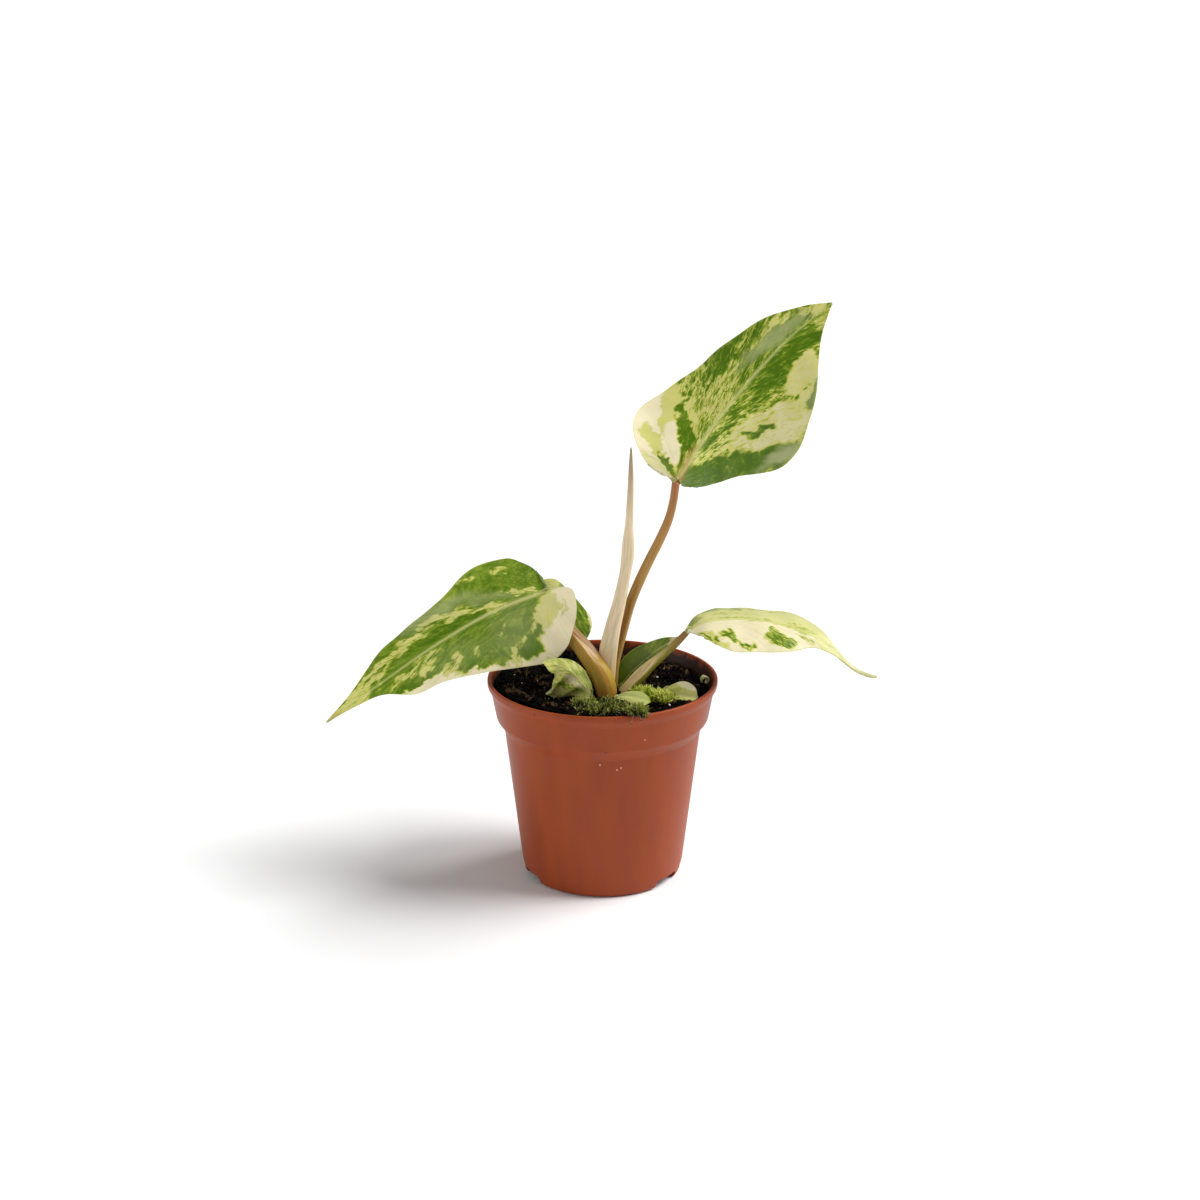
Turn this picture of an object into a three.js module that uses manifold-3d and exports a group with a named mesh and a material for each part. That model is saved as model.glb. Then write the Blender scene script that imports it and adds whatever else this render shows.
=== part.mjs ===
// A young variegated philodendron in a small plastic nursery pot.
// Millimetres, +Z up. The origin is the centre of the pot's foot, and the camera side is -Y.

import * as THREE from 'three';
import { mergeVertices } from 'three/addons/utils/BufferGeometryUtils.js';
import Module from 'manifold-3d';

const wasm = await Module();
wasm.setup();

// Driving dimensions: clearances
const GAP = 0.3;                    // kept between pieces that touch

// Driving dimensions: pot
const POT_HEIGHT = 53.5;
const RIM_RADIUS = 30;
const WALL = 0.9;
const LIP_DEPTH = 1.5;              // upright face of the rolled lip
const LIP_FLARE = 1.2;              // height over which the band widens into the lip
const BAND_BOTTOM = 43.2;           // lower edge of the wide band under the lip
const BAND_TOP_RADIUS = 29;
const BAND_BOTTOM_RADIUS = 27.7;
const STEP_BOTTOM = 40.2;           // where the step under the band meets the tapered wall
const STEP_RADIUS = 25.7;
const STEP_LEDGE_HEIGHT = 1.2;      // rounded ledge under the band
const STEP_LEDGE_RADIUS = 26.8;
const FOOT_RADIUS = 20.2;
const FOOT_ROUNDING = 1.1;
const FOOT_FLARE_TOP = 3.4;         // the foot widens up to here
const FOOT_WIDTH = 1.5;             // width of the ring that the pot stands on
const FLOOR_BOTTOM = 2.6;
const FLOOR_THICKNESS = 1;
const POT_SIDES = 48;

// Driving dimensions: drainage
const NOTCH_ANGLES = [-65, 55, 175];   // degrees from the front, turning toward +X
const NOTCH_WIDTH = 9.2;
const NOTCH_HEIGHT = 2.2;
const NOTCH_ROUNDING = 1.2;
const CENTRE_HOLE_RADIUS = 3;
const RING_HOLE_RADIUS = 2.4;
const RING_HOLE_COUNT = 6;
const RING_HOLE_CIRCLE = 12.5;

// Driving dimensions: soil
const SOIL_LEVEL = 49.7;
const SOIL_FRONT_RISE = 1.9;        // the soil is heaped toward the front
const SOIL_CROWN_RISE = 0.7;
const SOIL_BUMP = 0.22;
const SOIL_RINGS = 7;
const SOIL_SIDES = 40;
const CROWN = new THREE.Vector2(2.2, -5.4);   // where the stems leave the soil

// Driving dimensions: blades
const RIB_THICKNESS = 1.25;         // at the midrib of a full-size leaf
const BLADE_THICKNESS = 0.7;
const EDGE_THICKNESS = 0.62;
const FAN_SHARE = 0.33;             // share of the margin whose veins start at the stalk
const VEIN_FORWARD = 1.15;
const VEIN_SAG = 0.1;
const FIRST_ROW = 0.055;            // share of the margin where the first row of a blade ends
const ROW_CROWDING = 1.1;           // rows of a blade lie closer together near the stalk

// The tall upright leaf. Each half's outline runs from the stalk to the tip, as distance along the
// midrib and distance from it, and the faces say where the upper side looks at stalk, middle and tip
const TALL_LEAF = {
  midrib: [[18.8, 2, 105.8], [31.1, 11.4, 121.6], [46.2, 19.4, 137.1], [59.3, 24, 147.4]],
  faces: [[0.1, -0.8, 0.5], [0, -0.75, 0.6], [-0.1, -0.7, 0.7]],
  left: {
    outline: [[0, 4.3], [0, 9.5], [6, 17], [13, 20.4], [20, 19], [27, 16.6], [34, 15], [41, 13],
      [48, 10.2], [56, 5]],
    fold: [5, 20, 16, 4],
    curl: [0, 7, 7, 4],
  },
  right: {
    outline: [[0.9, 3.8], [2.7, 7.8], [6, 12.8], [13, 17], [20, 22], [27, 21.9], [34, 18.9], [41, 15.5],
      [48, 10.6], [55, 4.9]],
    fold: [64, 30, 8, 4],
    curl: [12, 5, 2, 4],
  },
  lobeBend: 0.03,
  veins: 24,
  cells: 6,
};

// The drooping leaf on the left
const LEFT_LEAF = {
  midrib: [[-14.3, -3, 78], [-28, -4.5, 72.8], [-43, -7.5, 64.6], [-58, -11.5, 54.8], [-70.5, -16, 47]],
  faces: [[-0.3, -0.7, 0.7], [-0.25, -0.75, 0.65], [-0.2, -0.8, 0.6]],
  left: {
    outline: [[-3.2, 0.2], [-6.3, 2], [-6, 6.1], [-3.8, 10.5], [1, 15.8], [6, 17.4], [15, 15.8], [25, 12.5],
      [35, 9.1], [43, 7.6], [50, 2.8], [57, 1.2]],
    fold: [25, 22, 17, 11],
    curl: [12, 9, 6, 5],
  },
  right: {
    outline: [[0.1, 2], [0.5, 5], [0.8, 8], [2, 11.2], [4.1, 14.4], [8, 17.4], [15, 16.6], [25, 11.2],
      [35, 9.2], [43, 8.1], [50, 5.6], [57, 2.4]],
    fold: [15, 4, 2, 4],
    curl: [12, 4, 5, 5],
  },
  lobeBend: 0.014,
  veins: 25,
  cells: 6,
};

// The arching leaf on the right with a thread-like tip
const RIGHT_LEAF = {
  midrib: [[21.9, -4, 67.4], [28, -4, 70.1], [40, -4, 70.2], [52, -5, 67.2], [58.5, -6.2, 63.4],
    [64.3, -7.4, 58.8], [67.6, -8, 57.3], [70.5, -8.6, 56.7]],
  faces: [[0.1, -0.2, 1], [0.15, -0.3, 0.95], [0.2, -0.4, 0.9]],
  left: {
    outline: [[0, 1.8], [5, 6.9], [12, 9.5], [20, 9.1], [28, 7.3], [35, 4.6], [41, 1.4],
      [47, 0.75]],
    fold: [2, 9, -3, 0],
    curl: [15, 16, 8, 4],
  },
  right: {
    outline: [[1.2, 1], [5, 6], [12, 9.6], [20, 9.1], [28, 7.4], [35, 3.2], [41, 1.2],
      [47, 0.75]],
    fold: [18, 21, 20, 16],
    curl: [12, 11, 8, 4],
  },
  lobeBend: 0.03,
  veins: 26,
  cells: 5,
};

// The small leaf that hangs behind the left one
const BACK_LEAF = {
  midrib: [[-15.9, 3.6, 78.1], [-12, 2.4, 76], [-8.7, 1.4, 71.4], [-6.9, 1.2, 65.7], [-6.4, 1.6, 60.6]],
  faces: [[0.3, -0.6, 0.7], [0.45, -0.75, 0.45], [0.45, -0.88, 0.1]],
  left: {
    outline: [[0.3, 1.4], [2.5, 3], [6, 3.1], [9, 3.6], [12, 4.7], [15, 5.8], [17.5, 5], [20, 2.2]],
    fold: [6, 6, 6],
    curl: [25, 25, 20],
  },
  right: {
    outline: [[0.3, 1.2], [2.5, 2.4], [6, 2.6], [9, 3], [12, 3.8], [15, 4.4], [17.5, 3.6], [20, 1.4]],
    fold: [6, 6, 6],
    curl: [25, 25, 20],
  },
  lobeBend: 0.03,
  veins: 16,
  cells: 4,
};

// The low dark leaf behind the right stem
const LOW_LEAF = {
  midrib: [[4.4, -1.6, 51.2], [6.8, -1.6, 54.4], [9.8, -1.5, 57.6], [15.5, -1.5, 62.2], [20.6, -1.6, 65]],
  faces: [[-0.35, -0.9, 0.3], [-0.35, -0.85, 0.35], [-0.3, -0.85, 0.45]],
  left: {
    outline: [[0.6, 1.6], [4, 3.6], [9, 4.1], [14, 2.9], [18, 1.6]],
    fold: [-10, -8, -5],
    curl: [20, 20, 15],
  },
  right: {
    outline: [[0.6, 1.4], [4, 2.8], [9, 3.3], [14, 2.8], [18, 1.7]],
    fold: [-10, -8, -5],
    curl: [20, 20, 15],
  },
  lobeBend: 0.02,
  veins: 14,
  cells: 4,
};

// The crumpled leaf that stands on the soil at the front left
const CRUMPLED_LEAF = {
  midrib: [[-2.9, -10.2, 51.9], [-5.6, -10.9, 56], [-9.4, -11.6, 60], [-15.4, -12.6, 62.2]],
  faces: [[0.1, -0.9, 0.3], [0, -0.95, 0.3], [-0.1, -0.85, 0.5]],
  left: {
    outline: [[1.8, 4.2], [4.8, 8.2], [9.5, 8.8], [12.2, 5.6], [12.6, 2.6], [14.6, 2]],
    fold: [10, 14, 10],
    curl: [18, 10, 0],
  },
  right: {
    outline: [[2.4, 1.9], [6.5, 2.9], [10.5, 2.5], [14, 1.4]],
    fold: [30, 25, 20],
    curl: [20, 20, 10],
  },
  lobeBend: 0.02,
  waveHeight: 0.55,
  waveCount: 3.5,
  veins: 16,
  cells: 5,
};

// The little cupped leaf at the front right
const CUPPED_LEAF = {
  midrib: [[13.6, -8.4, 51.6], [17, -9.4, 51.8], [20.6, -10.4, 52], [24.4, -11.2, 51.6]],
  faces: [[0, -0.25, 0.97], [0.05, -0.4, 0.9], [0.1, -0.5, 0.85]],
  left: {
    outline: [[1.2, 0.9], [4, 2.8], [7.2, 3.9], [10, 2.6]],
    fold: [-25, -30, -28],
    curl: [10, 20, 60],
  },
  right: {
    outline: [[1.2, 0.7], [4, 1.6], [7.2, 2.2], [10, 1.6]],
    fold: [-8, -5, -5],
    curl: [-40, -60, -60],
  },
  lobeBend: 0.02,
  veins: 12,
  cells: 4,
};

// The smallest leaf, lying in front of the stems
const LITTLE_LEAF = {
  midrib: [[4.3, -12.6, 51.8], [6.6, -13.5, 52.1], [9, -14.2, 51.9], [11.5, -14.7, 51.5]],
  faces: [[0, -0.35, 0.93], [0, -0.3, 0.95], [0.1, -0.3, 0.95]],
  left: {
    outline: [[0.8, 0.6], [2.6, 1.2], [5, 1.6], [6.8, 1]],
    fold: [-5, -10, -5],
    curl: [-30, -30, -30],
  },
  right: {
    outline: [[0.8, 0.7], [2.6, 1.2], [5, 1.9], [6.8, 1.4]],
    fold: [5, 10, 10],
    curl: [30, 30, 30],
  },
  lobeBend: 0.02,
  veins: 10,
  cells: 3,
};

// Stems: points of the centre line, half widths, half depths, depth of the groove on the upper
// side as a share of the half depth, and the direction that side looks in
const TALL_STEM = {
  path: [[2.4, -1.2, 48.9], [2.5, -1.2, 53], [2.9, -1.1, 57.5], [3.9, -1, 62], [5.6, -0.9, 67.6],
    [7.8, -0.9, 74.6], [10.3, -0.8, 80.4], [13, -0.4, 85.6], [15.4, 0.2, 90.6], [17.2, 0.8, 95.7],
    [18.2, 1.3, 100.4], [18.7, 1.8, 104.9]],
  widths: [1.6, 1.5, 1.4, 1.25, 1.1, 0.95, 0.85],
  depths: [1.6, 1.5, 1.4, 1.2, 1.05, 0.9, 0.75],
  groove: [0.5, 0.7, 0.8, 0.5, 0.15, 0.1, 0],
  upper: [-0.5, -0.8, 0.2],
  steps: 20,
};
const SPEAR = {
  path: [[1, -5.1, 49.2], [1, -5.1, 55], [1.5, -4.7, 62], [2.7, -4, 68.5], [4.1, -3.2, 74.6],
    [5.3, -2.4, 80.4], [6.2, -1.7, 86], [6.7, -1, 91], [7, -0.3, 97], [7.2, 0.6, 105.5], [7.2, 1.8, 113.8]],
  widths: [1.9, 1.95, 1.95, 1.75, 1.55, 1.35, 1.42, 0.95, 0.72, 0.55, 0.22],
  depths: [1.6, 1.7, 1.65, 1.5, 1.35, 1.15, 1, 0.8, 0.65, 0.5, 0.2],
  groove: [0, 0, 0.15, 0.2, 0.2, 0.2, 0.2, 0.15, 0.1, 0, 0],
  upper: [-0.3, -0.95, 0.2],
  steps: 22,
};
const LEFT_STEM = {
  path: [[1.4, -7.6, 48.6], [1.2, -7.8, 51], [0.7, -7.7, 54], [-0.7, -7.2, 57.2], [-2.4, -6.4, 60.1],
    [-4.7, -5.1, 63.3], [-7.1, -3.9, 66], [-9.6, -2.9, 68.8], [-12.6, -1.7, 73.8], [-14.2, -1.2, 76.4]],
  widths: [2, 2.1, 2.2, 2.2, 2, 1.6, 1.1, 0.9],
  depths: [2, 2.2, 2.6, 2.8, 2.85, 2.5, 1.3, 0.9],
  groove: [0, 0, 0.3, 0.8, 1.2, 1.2, 0.3, 0],
  upper: [0.7, 0.1, 0.7],
  steps: 20,
};
const RIGHT_STEM = {
  path: [[4.4, -7.7, 48.9], [5.3, -7.1, 51.6], [8.2, -6.3, 54.7], [11.3, -5.6, 57.7], [14.6, -5, 60.4],
    [17.4, -4.6, 62.8], [19.6, -4.3, 64.9], [21.2, -4.1, 66.6]],
  widths: [1.4, 1.6, 1.7, 1.6, 1.25, 1.05, 0.95, 0.8],
  depths: [1.4, 1.8, 2.05, 1.9, 1.35, 1.1, 1, 0.8],
  groove: [0.6, 0.9, 1.1, 1, 0.3, 0.15, 0.1, 0],
  upper: [-0.65, -0.1, 0.7],
  steps: 16,
};
const BACK_STEM = {
  path: [[0.8, -2.2, 48.9], [-0.1, -1.9, 51.7], [-1.6, -0.9, 54.9], [-3.6, 0.7, 57.6], [-5.9, 2.7, 59.8],
    [-8.3, 4.6, 62], [-11.1, 6.2, 65.2], [-13.9, 7, 69.6], [-15.7, 6.4, 74], [-16.1, 4.8, 77.6]],
  widths: [0.95, 0.85, 0.75, 0.6],
  depths: [0.9, 0.8, 0.7, 0.55],
  groove: [0, 0.1, 0.1, 0],
  upper: [0.7, 0.5, 0.6],
  steps: 12,
};
const LOW_STEM = {
  path: [[4.9, -3.4, 48.9], [4.6, -2.4, 50.2], [5, -1.7, 52.2]],
  widths: [0.9, 0.8, 0.55],
  depths: [0.9, 0.8, 0.55],
  groove: [0, 0, 0],
  upper: [-0.5, -0.6, 0.3],
  steps: 5,
};
const STEM_SIDES = 10;

// Driving dimensions: rootstock, hidden in the soil under the stems
const ROOTSTOCK_TOP = 48.3;
const ROOTSTOCK_RADII = [4.6, 5.2, 4, 1.6];
const ROOTSTOCK_DEPTHS = [0, 3, 8, 12];
const ROOT_COUNT = 3;
const ROOT_SIDES = 6;
const ROOT_LENGTH = 16;
const ROOT_RADIUS = 1;

// Driving dimensions: the little curled leaf tip by the rim
const CURL_CENTRE = [25.6, 2.2, 51.5];
const CURL_RADIUS = 1.05;
const CURL_WIDTH = 1.5;
const CURL_THICKNESS = 0.6;

// Driving dimensions: moss, as an outline of patches with the height and number of the shoots
const BRIGHT_MOSS = {
  patches: [[10.9, -10.4, 2.8, 2], [14.8, -12.2, 3.2, 2.3]],
  height: 1.4, shoots: 22, shootLength: 1.5, seed: 11,
};
const FRONT_MOSS = {
  patches: [[-4.6, -16.2, 3.2, 2.3], [0.6, -19.4, 4, 3], [7.2, -21.4, 3.6, 3.2]],
  height: 1, shoots: 30, shootLength: 1.3, seed: 23,
};
const MOSS_EDGE_HEIGHT = 0.35;
const MOSS_OVERLAP = 0.4;           // share of a cushion's height that its shoots are rooted in
const SHOOT_LEAN = 0.9;
const SHOOT_WIDTH = 0.42;

// Surface colours as seen, with roughness
const MATERIALS = {
  pot: { color: 0xb05030, roughness: 0.5 },
  soil: { color: 0x2b1d16, roughness: 0.95 },
  leaf: { color: 0x7f9b45, roughness: 0.4 },
  darkLeaf: { color: 0x3f5f33, roughness: 0.45 },
  paleLeaf: { color: 0xc9d08b, roughness: 0.5 },
  stem: { color: 0x9a7a2e, roughness: 0.45 },
  tallStem: { color: 0x9a6a3c, roughness: 0.45 },
  spear: { color: 0xd8bf95, roughness: 0.45 },
  rootstock: { color: 0x8a6a48, roughness: 0.8 },
  brightMoss: { color: 0x8aa62c, roughness: 0.9 },
  darkMoss: { color: 0x4c5a22, roughness: 0.9 },
};

// Small helpers

const vector = (a) => new THREE.Vector3(a[0], a[1], a[2] ?? 0);
const lerp = THREE.MathUtils.lerp;
const rad = THREE.MathUtils.degToRad;

/** A smooth curve through a list of points, measured by length. */
function curveThrough(points) {
  const curve = new THREE.CatmullRomCurve3(points.map(vector), false, 'catmullrom', 0.5);
  curve.arcLengthDivisions = 600;
  return curve;
}

/** Evenly spaced values, read smoothly at a share t of their range. */
function smoothValue(values, t) {
  const points = values.map((v) => new THREE.Vector3(v, 0, 0));
  const curve = new THREE.CatmullRomCurve3(points, false, 'catmullrom', 0.5);
  return curve.getPoint(THREE.MathUtils.clamp(t, 0, 1)).x;
}

/** Repeatable random numbers from 0 to 1. */
function randomSource(seed) {
  let state = seed * 2654435761 % 4294967296;
  return () => {
    state = (state * 1664525 + 1013904223) % 4294967296;
    return state / 4294967296;
  };
}

/** Collects triangles between named points and closes them into one geometry. */
class Shell {
  constructor() {
    this.positions = [];
    this.indices = [];
  }

  point(p) {
    this.positions.push(p.x, p.y, p.z);
    return this.positions.length / 3 - 1;
  }

  triangle(a, b, c) {
    if (a !== b && b !== c && c !== a) this.indices.push(a, b, c);
  }

  quad(a, b, c, d) {
    this.triangle(a, b, c);
    this.triangle(a, c, d);
  }

  geometry() {
    const geometry = new THREE.BufferGeometry();
    geometry.setAttribute('position', new THREE.Float32BufferAttribute(this.positions, 3));
    geometry.setIndex(this.indices);
    return geometry;
  }
}

/** A closed geometry as a solid that can be joined and cut. */
function solid(geometry) {
  const plain = geometry.clone();
  plain.deleteAttribute('normal');
  plain.deleteAttribute('uv');
  const merged = mergeVertices(plain, 1e-4);
  const mesh = new wasm.Mesh({
    numProp: 3,
    vertProperties: new Float32Array(merged.attributes.position.array),
    triVerts: new Uint32Array(merged.index.array),
  });
  return new wasm.Manifold(mesh);
}

/** The largest connected body of a solid, as a geometry. */
function mainBody(manifold) {
  const bodies = manifold.decompose();
  bodies.sort((a, b) => b.volume() - a.volume());
  const mesh = bodies[0].getMesh();
  const geometry = new THREE.BufferGeometry();
  geometry.setAttribute('position', new THREE.BufferAttribute(new Float32Array(mesh.vertProperties), 3));
  geometry.setIndex(new THREE.BufferAttribute(new Uint32Array(mesh.triVerts), 1));
  return geometry;
}

const root = new THREE.Group();

/** Adds one named piece with its own material. */
function addPiece(name, geometry, material) {
  const mesh = new THREE.Mesh(geometry, new THREE.MeshStandardMaterial({ metalness: 0, ...material }));
  mesh.name = name;
  root.add(mesh);
}

// Pot

/** Radius of the pot's outer face at a height. */
function wallRadius(z) {
  const points = [[0, FOOT_RADIUS], [STEP_BOTTOM, STEP_RADIUS], [BAND_BOTTOM, BAND_BOTTOM_RADIUS],
    [POT_HEIGHT - LIP_DEPTH - LIP_FLARE, BAND_TOP_RADIUS], [POT_HEIGHT, RIM_RADIUS]];
  for (let i = 1; i < points.length; i += 1) {
    const [z0, r0] = points[i - 1];
    const [z1, r1] = points[i];
    if (z <= z1) return lerp(r0, r1, (z - z0) / (z1 - z0));
  }
  return RIM_RADIUS;
}

function potProfile() {
  const bandTop = POT_HEIGHT - LIP_DEPTH - LIP_FLARE;
  const floorTop = FLOOR_BOTTOM + FLOOR_THICKNESS;
  const outer = [
    [FOOT_RADIUS - 0.2, 0],
    [FOOT_RADIUS + 0.4, 0.6],
    [FOOT_RADIUS + FOOT_ROUNDING, FOOT_FLARE_TOP],
    [STEP_RADIUS, STEP_BOTTOM],
    [STEP_LEDGE_RADIUS, BAND_BOTTOM - STEP_LEDGE_HEIGHT],
    [BAND_BOTTOM_RADIUS, BAND_BOTTOM],
    [BAND_TOP_RADIUS, bandTop],
    [RIM_RADIUS, POT_HEIGHT - LIP_DEPTH],
    [RIM_RADIUS, POT_HEIGHT - 0.25],
    [RIM_RADIUS - 0.25, POT_HEIGHT],
  ];
  const inner = [
    [RIM_RADIUS - WALL, POT_HEIGHT],
    [BAND_TOP_RADIUS - WALL, bandTop],
    [BAND_BOTTOM_RADIUS - WALL, BAND_BOTTOM],
    [STEP_RADIUS - WALL, STEP_BOTTOM],
    [FOOT_RADIUS + FOOT_ROUNDING - WALL, floorTop],
    [0, floorTop],
  ];
  const under = [
    [0, FLOOR_BOTTOM],
    [FOOT_RADIUS - FOOT_WIDTH, FLOOR_BOTTOM],
    [FOOT_RADIUS - FOOT_WIDTH, 0],
  ];
  return [...under, ...outer, ...inner].map(([r, z]) => new THREE.Vector2(r, z));
}

/** Turns a lathe shape, which stands along Y, upright. */
function upright(geometry) {
  return geometry.rotateX(Math.PI / 2);
}

function lathe(points, sides) {
  return upright(new THREE.LatheGeometry(points, sides));
}

function cylinder(radius, bottom, top, x, y, sides) {
  const geometry = new THREE.CylinderGeometry(radius, radius, top - bottom, sides);
  return upright(geometry).translate(x, y, (bottom + top) / 2);
}

/** A rounded arch, wide as a drainage notch, running outward through the foot ring. */
function notch(angle) {
  const half = NOTCH_WIDTH / 2;
  const shape = new THREE.Shape();
  shape.moveTo(-half, -1);
  shape.lineTo(half, -1);
  shape.lineTo(half, NOTCH_HEIGHT - NOTCH_ROUNDING);
  shape.absarc(half - NOTCH_ROUNDING, NOTCH_HEIGHT - NOTCH_ROUNDING, NOTCH_ROUNDING, 0, Math.PI / 2);
  shape.absarc(-half + NOTCH_ROUNDING, NOTCH_HEIGHT - NOTCH_ROUNDING, NOTCH_ROUNDING, Math.PI / 2, Math.PI);
  shape.closePath();
  const depth = FOOT_WIDTH + 4;
  const geometry = new THREE.ExtrudeGeometry(shape, { depth, bevelEnabled: false, curveSegments: 4 });
  geometry.rotateX(Math.PI / 2).translate(0, -(FOOT_RADIUS - FOOT_WIDTH - 1.5), 0);
  return geometry.rotateZ(rad(angle));
}

function buildPot() {
  let pot = solid(lathe(potProfile(), POT_SIDES));
  for (const angle of NOTCH_ANGLES) pot = pot.subtract(solid(notch(angle)));
  const below = FLOOR_BOTTOM - 1;
  const above = FLOOR_BOTTOM + FLOOR_THICKNESS + 1;
  pot = pot.subtract(solid(cylinder(CENTRE_HOLE_RADIUS, below, above, 0, 0, 20)));
  for (let i = 0; i < RING_HOLE_COUNT; i += 1) {
    const a = (i + 0.5) * 2 * Math.PI / RING_HOLE_COUNT;
    const x = RING_HOLE_CIRCLE * Math.cos(a);
    const y = RING_HOLE_CIRCLE * Math.sin(a);
    pot = pot.subtract(solid(cylinder(RING_HOLE_RADIUS, below, above, x, y, 16)));
  }
  return mainBody(pot);
}

// Soil

/** Height of the soil's surface at a place. */
function soilTop(x, y) {
  const front = SOIL_FRONT_RISE * THREE.MathUtils.smoothstep(-y, -4, 20);
  const dx = x - CROWN.x;
  const dy = y - CROWN.y;
  const crown = SOIL_CROWN_RISE * Math.exp(-(dx * dx + dy * dy) / 60);
  const bumps = Math.sin(0.41 * x + 1.3 * Math.sin(0.23 * y)) + Math.sin(0.37 * y - 0.29 * x + 2);
  return SOIL_LEVEL + front + crown + SOIL_BUMP * bumps;
}

function soilBody() {
  const floorTop = FLOOR_BOTTOM + FLOOR_THICKNESS + GAP;
  const shell = new Shell();
  const sides = SOIL_SIDES;
  const angleOf = (k) => 2 * Math.PI * k / sides;
  const edge = 0.1;                 // flat sides lie inside the round wall by this much
  const inner = (z) => wallRadius(z) - WALL - GAP - edge;
  const ring = (height, radiusOf) => {
    const ids = [];
    for (let k = 0; k < sides; k += 1) {
      const a = angleOf(k);
      const r = radiusOf(a);
      const x = r * Math.sin(a);
      const y = -r * Math.cos(a);
      ids.push(shell.point(new THREE.Vector3(x, y, height(x, y))));
    }
    return ids;
  };
  const topRadius = (a) => {
    const guess = inner(SOIL_LEVEL);
    return inner(soilTop(guess * Math.sin(a), -guess * Math.cos(a)));
  };
  const rings = [
    ring(() => floorTop, () => inner(floorTop) - 0.3),
    ring(() => STEP_BOTTOM, () => inner(STEP_BOTTOM)),
    ring(() => BAND_BOTTOM, () => inner(BAND_BOTTOM)),
  ];
  for (let i = SOIL_RINGS; i > 0; i -= 1) {
    rings.push(ring(soilTop, (a) => topRadius(a) * i / SOIL_RINGS));
  }
  for (let i = 1; i < rings.length; i += 1) {
    for (let k = 0; k < sides; k += 1) {
      const n = (k + 1) % sides;
      shell.quad(rings[i - 1][k], rings[i - 1][n], rings[i][n], rings[i][k]);
    }
  }
  const bottom = shell.point(new THREE.Vector3(0, 0, floorTop));
  const top = shell.point(new THREE.Vector3(0, 0, soilTop(0, 0)));
  const last = rings[rings.length - 1];
  for (let k = 0; k < sides; k += 1) {
    const n = (k + 1) % sides;
    shell.triangle(bottom, rings[0][n], rings[0][k]);
    shell.triangle(top, last[k], last[n]);
  }
  return shell.geometry();
}

// Blades

/** The form of one leaf: a flat outline, bent along its midrib, folded and curled to the sides. */
class LeafForm {
  constructor(leaf) {
    this.leaf = leaf;
    this.midrib = curveThrough(leaf.midrib);
    this.length = this.midrib.getLength();
    this.faces = new THREE.CatmullRomCurve3(leaf.faces.map(vector), false, 'catmullrom', 0.5);
    const edge = (half) => curveThrough([[0, 0], ...half.outline, [this.length, 0]]);
    this.sides = {
      1: { ...leaf.left, edge: edge(leaf.left) },
      '-1': { ...leaf.right, edge: edge(leaf.right) },
    };
  }

  /** Point, direction, side and face vectors of the midrib at flat x, with x < 0 in the lobes. */
  frame(x) {
    const share = THREE.MathUtils.clamp(x / this.length, 0, 1);
    const point = this.midrib.getPointAt(share);
    const along = this.midrib.getTangentAt(share);
    const face = this.faces.getPoint(share).normalize();
    const side = new THREE.Vector3().crossVectors(face, along).normalize();
    face.crossVectors(along, side).normalize();
    if (x < 0) {
      const bend = Math.max(this.leaf.lobeBend, 1e-6);
      const angle = -x * bend;
      point.addScaledVector(along, -Math.sin(angle) / bend);
      point.addScaledVector(face, -(1 - Math.cos(angle)) / bend);
      const turned = face.clone().multiplyScalar(Math.cos(angle)).addScaledVector(along, -Math.sin(angle));
      face.copy(turned);
    }
    return { point, side, face };
  }

  /** Place and outward normal of the flat point (x, y) on one half of the leaf. */
  place(x, y, half) {
    const { point, side, face } = this.frame(x);
    const share = THREE.MathUtils.clamp(x / this.length, 0, 1);
    const fold = rad(smoothValue(this.sides[half].fold, share));
    let curl = rad(smoothValue(this.sides[half].curl, share)) / 10;
    if (Math.abs(curl) < 1e-5) curl = 1e-5;
    const out = (Math.sin(fold + curl * y) - Math.sin(fold)) / curl;
    const down = (Math.cos(fold) - Math.cos(fold + curl * y)) / curl;
    point.addScaledVector(side, half * out).addScaledVector(face, -down);
    if (this.leaf.waveHeight) {
      const phase = 2 * Math.PI * this.leaf.waveCount * share + half;
      point.addScaledVector(face, this.leaf.waveHeight * Math.sin(phase) * Math.min(y / 3, 1));
    }
    const turn = fold + curl * y;
    const normal = y === 0
      ? face.clone()
      : face.clone().multiplyScalar(Math.cos(turn)).addScaledVector(side, half * Math.sin(turn));
    return { point, normal };
  }

  /** Flat point a share v along the side vein that meets the margin at share a. */
  flat(a, v, half) {
    const end = this.sides[half].edge.getPointAt(a);
    const start = a <= FAN_SHARE ? 0 : this.length * ((a - FAN_SHARE) / (1 - FAN_SHARE)) ** VEIN_FORWARD;
    const bendX = (start + end.x) / 2 - VEIN_SAG * Math.abs(end.y);
    const bendY = end.y / 2;
    const x = (1 - v) ** 2 * start + 2 * v * (1 - v) * bendX + v ** 2 * end.x;
    const y = 2 * v * (1 - v) * bendY + v ** 2 * end.y;
    return [x, y];
  }
}

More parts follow.
